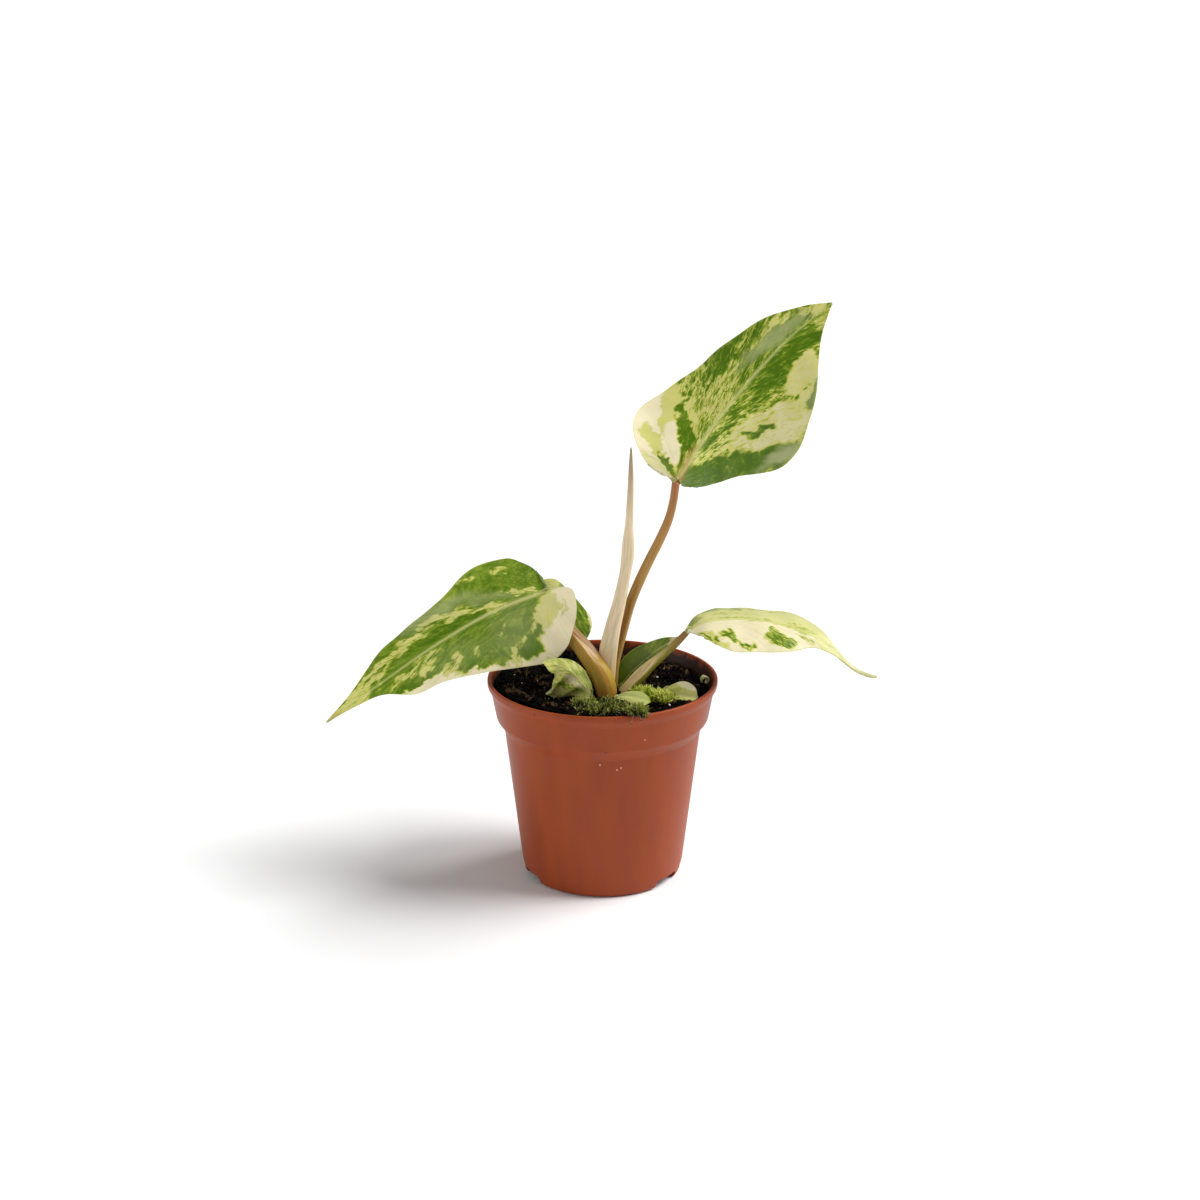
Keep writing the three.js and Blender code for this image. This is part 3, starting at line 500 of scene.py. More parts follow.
@dataclass(frozen=True)
class LeafSkin(Finish):
    """Waxy leaf skin in cream and greens: a soft gloss, and flecks that lie along the side veins."""

    side: Side
    stops: Stops = (
        (0.00, "#EFE5C6"), (0.14, "#EADFB4"), (0.18, "#DFDAA6"), (0.23, "#D9D49A"),
        (0.26, "#D4D086"), (0.38, "#CFCC6A"), (0.41, "#BABE54"), (0.55, "#AAB244"),
        (0.58, "#8AA032"), (0.76, "#728A24"), (0.80, "#628016"), (1.00, "#4E700C"),
    )
    under_stops: Stops = (
        (0.00, "#E9E2C8"), (0.22, "#E0DBB6"), (0.27, "#D3D3A0"), (0.40, "#C3C788"),
        (0.44, "#ADB871"), (0.57, "#9CAC66"), (0.61, "#889F5C"), (0.78, "#7B9555"),
        (0.82, "#6C8A4E"), (1.00, "#64844A"),
    )
    rib_colour: str = "#CBCB82"
    blush_colour: str = "#A8743E"
    # pale grey-green of the painted sheen, which stands for the gloss of the skin
    sheen_colour: str = "#B9BC88"
    palest_fleck: float = 0.3  # flecks in the green parts stay this yellow, short of cream
    contrast: float = 4.6  # how strongly flecks shift the tone
    fleck_width: float = 0.95  # mm across the side veins
    fleck_length: float = 2.0  # mm along them
    cloud_width: float = 2.8  # mm, of the groups that flecks stand in
    cloud_length: float = 5.5
    cloud_share: float = 0.42
    vein_spacing: float = 2.6  # mm between side veins
    vein_width: float = 0.4
    cell: float = 0.625  # mm across the puffed cells between the veins

    @property
    def title(self) -> str:
        """The material's name."""
        return f"leaf_skin_waxy_{self.side.value}"

    def surface(self, tree: Tree) -> dict:
        """Colour the skin by the blade's markings, with flecks and sunk side veins.

        Args:
            tree: The material's nodes.

        Returns:
            Values and links of the surface shader.
        """
        under = self.side is Side.UNDER
        vein = add_node(tree, "Attribute", output="Vector", attribute_name="vein")
        tone, fleck, rib, blush, sage = (
            add_node(tree, "Attribute", output="Fac", attribute_name=name)
            for name in ("tone", "fleck", "rib", "blush", "sage")
        )
        flecks = self.pattern(tree, vein, self.fleck_width, self.fleck_length)
        clouds = self.pattern(tree, vein, self.cloud_width, self.cloud_length)
        shade = add_node(tree, "Mix", {0: self.cloud_share, 2: flecks, 3: clouds})
        least = add_node(tree, "Math", {0: tone, 1: self.palest_fleck}, operation="MINIMUM")
        for operation, number in (
            ("SUBTRACT", 0.5), ("MULTIPLY", self.contrast), ("MULTIPLY", fleck), ("ADD", tone),
            ("MAXIMUM", least),
        ):
            shade = add_node(tree, "Math", {0: shade, 1: number}, operation=operation)
        stops = self.under_stops if under else self.stops
        colour = add_node(tree, "ValToRGB", {0: shade}, stops=stops)
        # painted sheen goes on first, then the midrib and the blush, which are the leaf's own colours
        for mask, tint in (
            (sage, self.sheen_colour), (rib, self.rib_colour), (blush, self.blush_colour),
        ):
            layer = {0: mask, 6: colour, 7: linear(tint)}
            colour = add_node(tree, "Mix", layer, output=2, data_type="RGBA")
        height = {"Strength": 0.3, "Distance": 0.12 * MM, "Height": self.relief(tree, vein)}
        return {
            "Base Color": colour,
            "Normal": add_node(tree, "Bump", height, invert=under),
            "Roughness": 0.6 if under else 0.34,
            "IOR": 1.45,
            "Specular IOR Level": 0.2,
            "Subsurface Weight": 0.08,
            "Subsurface Radius": (0.9, 1.0, 0.2),
            "Subsurface Scale": 0.6 * MM,
        }

    @staticmethod
    def pattern(tree: Tree, vein: Socket, width: float, length: float) -> Socket:
        """Make noise that is stretched along the side veins.

        Args:
            tree: The material's nodes.
            vein: Place across and along the veins, in millimetres.
            width: Size of the pattern across the veins, in millimetres.
            length: Its size along them.

        Returns:
            The noise from 0 to 1.
        """
        scale = (1 / width, 1 / length, 1)
        stretched = add_node(tree, "Mapping", {"Vector": vein, "Scale": scale})
        return add_node(tree, "TexNoise", {
            "Vector": stretched, "Scale": 1.0, "Detail": 3.5, "Roughness": 0.6, "Distortion": 1.1,
        })

    def relief(self, tree: Tree, vein: Socket) -> Socket:
        """Sink thin lines for the side veins between faintly puffed cells.

        Args:
            tree: The material's nodes.
            vein: Place across and along the veins, in millimetres.

        Returns:
            The height for the bump.
        """
        across = add_node(tree, "SeparateXYZ", {0: vein})
        span = {0: across, 1: self.vein_spacing / 2}
        line = add_node(tree, "Math", span, operation="PINGPONG")
        groove = add_node(tree, "MapRange", {0: line, 1: 0.0, 2: self.vein_width})
        cells = add_node(tree, "TexNoise", {"Vector": vein, "Scale": 1 / self.cell, "Detail": 2.0})
        return add_node(tree, "Mix", {0: 0.3, 2: groove, 3: cells})


@dataclass(frozen=True)
class StalkSkin(Finish):
    """Smooth waxy stalk skin: fine lengthwise streaks, a paler channel above, darker at the base."""

    title: str
    outside: str
    channel: str
    streak: str
    base: str
    tip: str
    roughness: float = 0.38
    streak_amount: float = 0.5
    channel_start: float = 0.35  # how far up the channel's sides its colour begins
    channel_fade: float = 0.35
    base_share: float = 0.24  # share of the stalk that the base colour fades over
    tip_start: float = 0.72

    def surface(self, tree: Tree) -> dict:
        """Lay channel, base, tip and streaks over the outer colour.

        Args:
            tree: The material's nodes.

        Returns:
            Values and links of the surface shader.
        """
        grain = add_node(tree, "Attribute", output="Vector", attribute_name="grain")
        upper = add_node(tree, "Attribute", output="Fac", attribute_name="upper")
        share = add_node(tree, "Attribute", output="Fac", attribute_name="share")
        stretched = add_node(tree, "Mapping", {"Vector": grain, "Scale": (1.7, 1.7, 0.12)})
        fibre = add_node(tree, "TexNoise", {
            "Vector": stretched, "Scale": 1.0, "Detail": 3.0, "Roughness": 0.6,
        })
        colour = linear(self.outside)
        for source, low, high, below, above, tint in (
            (upper, self.channel_start, self.channel_start + self.channel_fade, 0.0, 1.0, self.channel),
            (share, 0.0, self.base_share, 1.0, 0.0, self.base),
            (share, self.tip_start, 1.0, 0.0, 1.0, self.tip),
            (fibre, 0.46, 0.62, 0.0, self.streak_amount, self.streak),
        ):
            mask = add_node(tree, "MapRange", {0: source, 1: low, 2: high, 3: below, 4: above})
            layer = {0: mask, 6: colour, 7: linear(tint)}
            colour = add_node(tree, "Mix", layer, output=2, data_type="RGBA")
        height = {"Strength": 0.3, "Distance": 0.1 * MM, "Height": fibre}
        return {
            "Base Color": colour,
            "Normal": add_node(tree, "Bump", height),
            "Roughness": self.roughness,
            "IOR": 1.45,
            "Specular IOR Level": 0.35,
            "Subsurface Weight": 0.1,
            "Subsurface Radius": (1.0, 0.7, 0.4),
            "Subsurface Scale": 0.8 * MM,
        }


@dataclass(frozen=True)
class MouldedPot(Finish):
    """Injection-moulded terracotta polypropylene: satin, faint upright flow marks, a few spots, and
    painted shade with peat inside.
    """

    title: str = "polypropylene_terracotta_moulded"
    colour: str = "#9A4114"
    darker: str = "#903B12"
    # dark brown of the specks, and of the painted shade with peat on the inner wall
    dirt_and_shade: str = "#2A1A12"
    dust: str = "#D8A888"
    flow_width: float = 5.0  # mm across the faint flow marks in the plastic
    flow_length: float = 26.0
    grain: float = 0.5  # mm across the dulled pits of the surface
    inside_patch: float = 2.2  # mm across the patches of painted shade and peat on the inner wall
    dirt_spots: Points = (
        (-17.21, -24.57, 52.15), (0.84, -27.65, 43.15), (2.3, -27.3, 42.4), (-23.98, -18.03, 52.4),
    )
    dust_spots: Points = (
        (-0.66, -25.55, 39.05), (3.63, -25.12, 37.5), (10.63, -26.1, 46.05), (4.64, -25.01, 38.0),
    )
    spot_radius: float = 0.28  # mm

    def surface(self, tree: Tree) -> dict:
        """Mottle the plastic along its flow, lay spots over it, and put peat with painted shade on the
        inner wall.

        Args:
            tree: The material's nodes.

        Returns:
            Values and links of the surface shader.
        """
        place = add_node(tree, "TexCoord", output="Object")
        wide, long = 1 / (self.flow_width * MM), 1 / (self.flow_length * MM)
        stretched = add_node(tree, "Mapping", {"Vector": place, "Scale": (wide, wide, long)})
        flow = add_node(tree, "TexNoise", {"Vector": stretched, "Scale": 1.0, "Detail": 3.0})
        pits = {"Vector": place, "Scale": 1 / (self.grain * MM), "Detail": 2.0}
        grain = add_node(tree, "TexNoise", pits)
        stops = ((0.35, self.darker), (0.65, self.colour))
        colour = add_node(tree, "ValToRGB", {0: flow}, stops=stops)
        layers = [(self.spot(tree, place, spot), self.dirt_and_shade) for spot in self.dirt_spots]
        layers += [(self.spot(tree, place, spot), self.dust) for spot in self.dust_spots]
        # the last layer is painted shade with peat on the inner wall above the soil
        for mask, tint in (*layers, (self.shade_and_soiling(tree, place), self.dirt_and_shade)):
            layer = {0: mask, 6: colour, 7: linear(tint)}
            colour = add_node(tree, "Mix", layer, output=2, data_type="RGBA")
        height = {"Strength": 0.12, "Distance": 0.04 * MM, "Height": grain}
        return {
            "Base Color": colour,
            "Normal": add_node(tree, "Bump", height),
            "Roughness": add_node(tree, "MapRange", {0: flow, 1: 0.3, 2: 0.7, 3: 0.4, 4: 0.5}),
            "IOR": 1.49,
            "Specular IOR Level": 0.28,
        }

    def spot(self, tree: Tree, place: Socket, centre: Place) -> Socket:
        """Mask one small spot with a soft edge.

        Args:
            tree: The material's nodes.
            place: Where on the object.
            centre: The middle of the spot, in millimetres.

        Returns:
            A mask that is near 1 in the spot.
        """
        middle = tuple(MM * number for number in centre)
        away = add_node(tree, "VectorMath", {0: place, 1: middle}, output="Value", operation="DISTANCE")
        edge = self.spot_radius * MM
        return add_node(tree, "MapRange", {0: away, 1: 0.6 * edge, 2: edge, 3: 0.9, 4: 0.0})

    def shade_and_soiling(self, tree: Tree, place: Socket) -> Socket:
        """Mask the inner wall above the soil for painted shade with peat.

        Args:
            tree: The material's nodes.
            place: Where on the object.

        Returns:
            A mask that is near 1 where the inner wall gets painted shade and peat.
        """
        shaded_and_soiled = add_node(tree, "Attribute", output="Fac", attribute_name="shaded_and_soiled")
        patches = add_node(tree, "TexNoise", {
            "Vector": place, "Scale": 1 / (self.inside_patch * MM), "Detail": 5.0, "Roughness": 0.65,
        })
        mixed = add_node(tree, "Math", {0: shaded_and_soiled, 1: patches}, operation="ADD")
        return add_node(tree, "MapRange", {0: mixed, 1: 0.9, 2: 1.12, 3: 0.0, 4: 0.92})


@dataclass(frozen=True)
class Peat(Finish):
    """Damp peat: almost black brown crumbs, dull, with lighter dry ones."""

    title: str = "peat_damp_crumbly"
    stops: Stops = ((0.3, "#010101"), (0.6, "#050302"), (0.8, "#160E08"), (0.98, "#4A3624"))
    crumb: float = 0.8  # mm across one grain of the surface

    def surface(self, tree: Tree) -> dict:
        """Colour and pit the peat by its grains.

        Args:
            tree: The material's nodes.

        Returns:
            Values and links of the surface shader.
        """
        place = add_node(tree, "TexCoord", output="Object")
        shade = add_node(tree, "Attribute", output="Fac", attribute_name="shade")
        grains = add_node(tree, "TexNoise", {
            "Vector": place, "Scale": 1 / (self.crumb * MM), "Detail": 5.0, "Roughness": 0.7,
        })
        mixed = add_node(tree, "Math", {0: grains, 1: shade}, operation="ADD")
        height = {"Strength": 0.9, "Distance": 0.4 * MM, "Height": grains}
        return {
            "Base Color": add_node(tree, "ValToRGB", {0: mixed}, stops=self.stops),
            "Normal": add_node(tree, "Bump", height),
            "Roughness": 0.8,
            "Specular IOR Level": 0.05,
        }


@dataclass(frozen=True)
class Grit(Finish):
    """Dry mineral, fibre or cork: matt and pitted, with a slightly uneven colour."""

    title: str
    light: str
    dark: str
    grain: float = 0.4  # mm across the pits

    def surface(self, tree: Tree) -> dict:
        """Colour and sink the pits.

        Args:
            tree: The material's nodes.

        Returns:
            Values and links of the surface shader.
        """
        place = add_node(tree, "TexCoord", output="Object")
        inputs = {"Vector": place, "Scale": 1 / (self.grain * MM), "Detail": 3.0}
        pits = add_node(tree, "TexNoise", inputs)
        stops = ((0.35, self.dark), (0.6, self.light))
        height = {"Strength": 0.6, "Distance": 0.1 * MM, "Height": pits}
        return {
            "Base Color": add_node(tree, "ValToRGB", {0: pits}, stops=stops),
            "Normal": add_node(tree, "Bump", height),
            "Roughness": 0.8,
            "IOR": 1.45,
        }


@dataclass(frozen=True)
class MossSkin(Finish):
    """Living moss: thin leaflets, darker toward the soil and bright at the tips."""

    title: str
    stops: Stops
    patch: float = 2.5  # mm across lighter and darker patches

    def surface(self, tree: Tree) -> dict:
        """Colour the shoots by their height and by patches.

        Args:
            tree: The material's nodes.

        Returns:
            Values and links of the surface shader.
        """
        shade = add_node(tree, "Attribute", output="Fac", attribute_name="shade")
        place = add_node(tree, "TexCoord", output="Object")
        inputs = {"Vector": place, "Scale": 1 / (self.patch * MM)}
        patches = add_node(tree, "TexNoise", inputs)
        centred = add_node(tree, "Math", {0: patches, 1: 0.5}, operation="SUBTRACT")
        mixed = add_node(tree, "Math", {0: shade, 1: centred}, operation="ADD")
        return {
            "Base Color": add_node(tree, "ValToRGB", {0: mixed}, stops=self.stops),
            "Roughness": 0.5,
            "IOR": 1.4,
            "Subsurface Weight": 0.2,
            "Subsurface Radius": (0.6, 1.0, 0.3),
            "Subsurface Scale": 0.5 * MM,
        }


@dataclass(frozen=True)
class PaleFloor(Finish):
    """Matt white studio paper: one even tone."""

    title: str = "studio_paper_matt"
    colour: str = "#F7F7F7"
    fibre: float = 1.5  # mm across the paper's fibres

    def surface(self, tree: Tree) -> dict:
        """Give the paper its faint fibres.

        Args:
            tree: The material's nodes.

        Returns:
            Values and links of the surface shader.
        """
        place = add_node(tree, "TexCoord", output="Object")
        inputs = {"Vector": place, "Scale": 1 / (self.fibre * MM)}
        fibres = add_node(tree, "TexNoise", inputs)
        height = {"Strength": 0.02, "Distance": 0.05 * MM, "Height": fibres}
        return {
            "Base Color": linear(self.colour),
            "Normal": add_node(tree, "Bump", height),
            "Roughness": 0.9,
            "Specular IOR Level": 0.1,
        }


# Leaves

FAN_SHARE = 0.33  # share of the margin whose side veins start at the stalk
VEIN_FORWARD = 1.15  # above 1, side veins start closer together near the stalk
VEIN_SAG = 0.1  # how far side veins bow toward the stalk, as a share of their reach
FIRST_ROW = 0.03  # share of the margin where a blade begins beside its stalk
ROW_CROWDING = 1.1  # rows lie closer together beside the stalk
TOP_RISE = 0.31  # mm from the form to the top face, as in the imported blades
RIB_SINK = 0.16  # mm that the top sinks along the midrib
RIB_SINK_WIDTH = 0.6
MARGIN_START = 0.985  # share of the way out where the pale margin begins
MARGIN_PALENESS = 0.45
LOBE_VEINS = 9.0  # mm across the veins for each radian of their fan in the lobes
MIDRIB_VEINS = 0.62  # mm across the veins for each mm along the midrib
STEEPEST_VEIN = 1.5  # radians
LEAF_SHIFT = 40  # keeps the patterns of different leaves apart
SIDE_SHIFT = 20  # keeps the patterns of the two halves apart
LONG_BLADE = 50  # mm from which a blade has its full swell and ragged markings
SLOW_SIZE, FAST_SIZE = 3.6, 1.0  # mm over which the edges of markings wander
SLOW_REACH, FAST_REACH = (2.2, 1.4), (1.1, 0.7)  # how far they wander along and across
MARK_SOFTNESS, TINT_SOFTNESS = 0.14, 0.6


@dataclass(frozen=True)
class Half:
    """One half of a blade: its flat outline, and how it folds and curls, all along the midrib."""

    outline: Pairs
    fold: Sequence[float]  # degrees down from flat at the midrib
    curl: Sequence[float]  # degrees for every 10 mm outward


@dataclass(frozen=True)
class LeafForm:
    """A flat outline in millimetres, bent along its midrib, folded and curled to the sides."""

    midrib: Points
    faces: Points
    left: Half
    right: Half
    lobe_bend: float = 0.02  # radians that the lobes bend down for each mm behind the stalk
    wave_height: float = 0.0
    wave_count: float = 0.0

    @cached_property
    def spine(self) -> Curve:
        """The midrib as a curve."""
        return Curve(self.midrib)

    @cached_property
    def edges(self) -> dict[int, Curve]:
        """The margin of each half as a flat curve from stalk to tip."""
        tip = (self.spine.length, 0)
        halves = {1: self.left, -1: self.right}
        return {side: Curve(((0, 0), *half.outline, tip)) for side, half in halves.items()}

    def flat(self, a: Array, v: Array, side: int) -> tuple[Array, Array]:
        """Find flat points along the side veins.

        Args:
            a: Share of the margin where the vein ends.
            v: Share of the vein's length.
            side: 1 for the left half, -1 for the right.

        Returns:
            Distance along the midrib and away from it.
        """
        edge = self.edges[side]
        end = edge.at(a * edge.length)
        late = np.maximum(a - FAN_SHARE, 0) / (1 - FAN_SHARE)
        start = self.spine.length * late ** VEIN_FORWARD
        bend_x = (start + end[:, 0]) / 2 - VEIN_SAG * np.abs(end[:, 1])
        x = (1 - v) ** 2 * start + 2 * v * (1 - v) * bend_x + v ** 2 * end[:, 0]
        y = v * (1 - v) * end[:, 1] + v ** 2 * end[:, 1]
        return x, y

    def place(self, x: Array, y: Array, side: int) -> tuple[Array, Array]:
        """Bend flat points of one half into space.

        Args:
            x: Distance along the midrib, below 0 in the lobes.
            y: Distance away from the midrib.
            side: 1 for the left half, -1 for the right.

        Returns:
            Points and upward normals.
        """
        half = self.left if side > 0 else self.right
        length = self.spine.length
        share = np.clip(x / length, 0, 1)
        point = self.spine.at(share * length)
        along = self.spine.along(share * length)
        face = unit(catmull(self.faces, share))
        across = unit(np.cross(face, along))
        face = np.cross(along, across)
        angle = (self.lobe_bend * np.maximum(-x, 0))[:, None]
        point = point - (along * np.sin(angle) + face * (1 - np.cos(angle))) / self.lobe_bend
        face = face * np.cos(angle) - along * np.sin(angle)
        fold = np.radians(catmull(half.fold, share))
        curl = np.radians(catmull(half.curl, share)) / 10
        curl = np.where(np.abs(curl) < 1e-5, 1e-5, curl)  # a flat half still divides by it
        turn = fold + curl * y
        out = (np.sin(turn) - np.sin(fold)) / curl
        down = (np.cos(fold) - np.cos(turn)) / curl
        point = point + side * across * out[:, None] - face * down[:, None]
        phase = 2 * math.pi * self.wave_count * share + side
        wave = self.wave_height * np.sin(phase) * np.minimum(y / 3, 1)
        point = point + face * wave[:, None]
        normal = face * np.cos(turn)[:, None] + side * across * np.sin(turn)[:, None]
        return point, normal


class Tone(Enum):
    """Where a marking stands between bare cream and full green."""

    CREAM = 0.08
    BUTTER = 0.2
    PRIMROSE = 0.25
    STRAW = 0.31
    LIME = 0.48
    LEAF = 0.72
    GREEN = 0.775
    DEEP = 0.92


@dataclass(frozen=True)
class Mark:
    """A long marking on the flat leaf, in millimetres, with its fleck: how far streaks break it."""

    tone: Tone
    x: float
    y: float  # above 0 on the left half, below 0 on the right
    length: float  # half the marking's length
    width: float  # half its width
    turn: float = 0.0  # degrees from the midrib toward the left margin
    fleck: float = 0.35


@dataclass(frozen=True)
class Stain:
    """A tint over the markings, placed and sized as they are, used for the leaf's real blush and for
    painted sheen.
    """

    x: float
    y: float
    length: float
    width: float
    turn: float = 0.0
    strength: float = 1.0


def mark_weight(mark: Mark | Stain, x: Array, y: Array, softness: float) -> Array:
    """Give how fully a marking covers flat points.

    Args:
        mark: The marking.
        x: Distance along the midrib.
        y: Distance from it, above 0 on the left half.
        softness: Share of the marking's size over which its edge fades.

    Returns:
        Cover from 0 to 1.
    """
    angle = math.radians(mark.turn)
    dx = x - mark.x
    dy = y - mark.y
    p = (dx * math.cos(angle) + dy * math.sin(angle)) / mark.length
    q = (dy * math.cos(angle) - dx * math.sin(angle)) / mark.width
    return 1 - smoothstep(1 - softness, 1 + softness, np.sqrt(p * p + q * q))


@dataclass
class Leaf:
    """A leaf blade with its midrib, markings and a paler underside."""

    name: str
    node: str
    slot: str
    form: LeafForm
    marks: Sequence[Mark] = ()
    base: tuple[Tone, Tone] = (Tone.LEAF, Tone.LEAF)
    base_fleck: float = 0.4
    blush: Sequence[Stain] = ()
    # painted sheen: pale grey-green tints that stand for the gloss of the skin
    sage: Sequence[Stain] = ()
    columns: int = 120
    rows: int = 150
    rib_width: float = 0.7  # mm, half the pale midrib at the stalk
    rib_thickness: float = 1.1
    blade_thickness: float = 0.38
    undulation: float = 0.22  # mm that the blade swells and sinks
    crowding: float = 1.5  # columns lie closer together beside the midrib
    vein_angle: float = 24.0  # degrees between midrib and side veins where they start
    vein_rise: float = 1.6  # degrees that they steepen for each mm outward
    seed: int = 1

    def vein_place(self, x: Array, y: Array) -> Array:
        """Give places across and along the side veins, which fan out from the stalk in the lobes.

        Args:
            x: Distance along the midrib.
            y: Distance from it, above 0 on the left half.

        Returns:
            Millimetres across the veins and along them, and a number for the half.
        """
        out = np.abs(y)
        rise = math.radians(self.vein_rise)
        first = math.radians(self.vein_angle)
        origin = x - np.log(np.sin(first + rise * out) / math.sin(first)) / rise
        chord = np.arctan2(out, x)
        start = chord - rise * out / 2
        across = np.where(origin > 0, MIDRIB_VEINS * origin, -LOBE_VEINS * (start - first))
        straight = out / np.sin(np.minimum(first + rise * out / 2, STEEPEST_VEIN))
        along = np.where(origin > 0, straight, np.hypot(x, y)) + LEAF_SHIFT * self.seed
        return np.stack([across, along, SIDE_SHIFT * np.where(y < 0, -1, 1)], -1)

    def lay(self, u: Array, v: Array) -> tuple[Array, dict]:
        """Place the blade's points and read its markings.

        Args:
            u: Share across, from the left margin to the right.
            v: Share along the margin from the stalk to the tip.

        Returns:
            Points in millimetres, and values for the material.
        """
        across = 1 - 2 * u
        a = FIRST_ROW + (1 - FIRST_ROW) * v ** ROW_CROWDING
        reach = np.abs(across) ** self.crowding
        point = np.zeros((len(u), 3))
        x = np.zeros(len(u))
        y = np.zeros(len(u))
        length = self.form.spine.length
        for side, mine in ((1, across >= 0), (-1, across < 0)):
            fx, fy = self.form.flat(a[mine], reach[mine], side)
            place, normal = self.form.place(fx, fy, side)
            fade = np.minimum(fy / 3, 1) * self.undulation * min(1, length / LONG_BLADE)
            swell = np.sin(0.55 * fx + 0.9 * self.seed) * np.sin(0.42 * fy + 0.21 * fx + self.seed)
            rise = TOP_RISE + fade * swell - RIB_SINK * np.exp(-(fy / RIB_SINK_WIDTH) ** 2)
            point[mine] = place + normal * rise[:, None]
            x[mine] = fx
            y[mine] = side * fy
        values = self.paint(x, y)
        values["vein"] = self.vein_place(x, y)
        share = np.clip(x / length, 0, 1)
        rib = self.rib_width * (1 - 0.7 * share)
        margin = smoothstep(MARGIN_START, 1.0, reach) * MARGIN_PALENESS
        values["rib"] = np.maximum(np.exp(-(y / rib) ** 2) * (0.95 - 0.5 * share), margin)
        values["thick"] = np.exp(-(y / (1.4 * rib)) ** 2)
        return point, values

    def paint(self, x: Array, y: Array) -> dict:
        """Read the markings at flat points.

        Args:
            x: Distance along the midrib.
            y: Distance from it, above 0 on the left half.

        Returns:
            Tone, fleck, blush and painted sheen at each point.
        """
        size = min(1.0, self.form.spine.length / LONG_BLADE)
        slow = wander(x, y, SLOW_SIZE * size, self.seed) * size
        fast = wander(x, y, FAST_SIZE * size, self.seed + 9.5) * size
        wx = x + SLOW_REACH[0] * slow[:, 0] + FAST_REACH[0] * fast[:, 0]
        wy = y + SLOW_REACH[1] * slow[:, 1] + FAST_REACH[1] * fast[:, 1]
        tone = np.where(y >= 0, self.base[0].value, self.base[1].value)
        fleck = np.full(len(x), self.base_fleck)
        for mark in self.marks:
            weight = mark_weight(mark, wx, wy, MARK_SOFTNESS)
            tone = tone + (mark.tone.value - tone) * weight
            fleck = fleck + (mark.fleck - fleck) * weight
        tints = {}
        # blush is the leaf's own colour; the painted sheen is a pale grey-green tint that stands for
        # gloss
        for key, tint_list in (("blush", self.blush), ("sage", self.sage)):
            cover = np.zeros(len(x))
            for one_tint in tint_list:
                weight = mark_weight(one_tint, wx, wy, TINT_SOFTNESS)
                cover = np.maximum(cover, one_tint.strength * weight)
            tints[key] = cover
        return {"tone": tone, "fleck": fleck, **tints}

    def build(self, skins: Sequence[Material]) -> Piece:
        """Make the blade as a thin closed sheet, thicker along the midrib.

        Args:
            skins: Materials of the upper face and of the underside.

        Returns:
            The finished blade.
        """
        blade = grid_sheet(self.name, self.columns, self.rows, self.lay)
        group = blade.vertex_groups.new(name="thickness")
        thick = np.zeros(len(blade.data.vertices), np.float32)
        blade.data.attributes["thick"].data.foreach_get("value", thick)
        least = self.blade_thickness / self.rib_thickness
        for i, share in enumerate(thick.tolist()):
            group.add([i], least + (1 - least) * share, "REPLACE")
        thicken(blade, self.rib_thickness, -1, skins)
        return blade

    def finish(self, skins: Sequence[Material], stalk: Piece | None = None) -> None:
        """Build the blade, join its own short stalk to it and fasten it to the body.

        Args:
            skins: Materials of the upper face and of the underside.
            stalk: The stalk that is one piece with the blade, where it has one.
        """
        blade = self.build(skins)
        if stalk:
            join([blade, stalk])
        place_on_body(blade, self.slot, self.node)


# Stalks


@dataclass(frozen=True)
class StalkForm:
    """A tapering stalk with a kidney-shaped section, in millimetres."""

    path: Points
    widths: Sequence[float]  # half the section's width, evenly spaced along the path
    depths: Sequence[float]  # half its depth
    groove: Sequence[float]  # how deep the channel is, as a share of the depth
    upper: Place  # the way that the channel faces


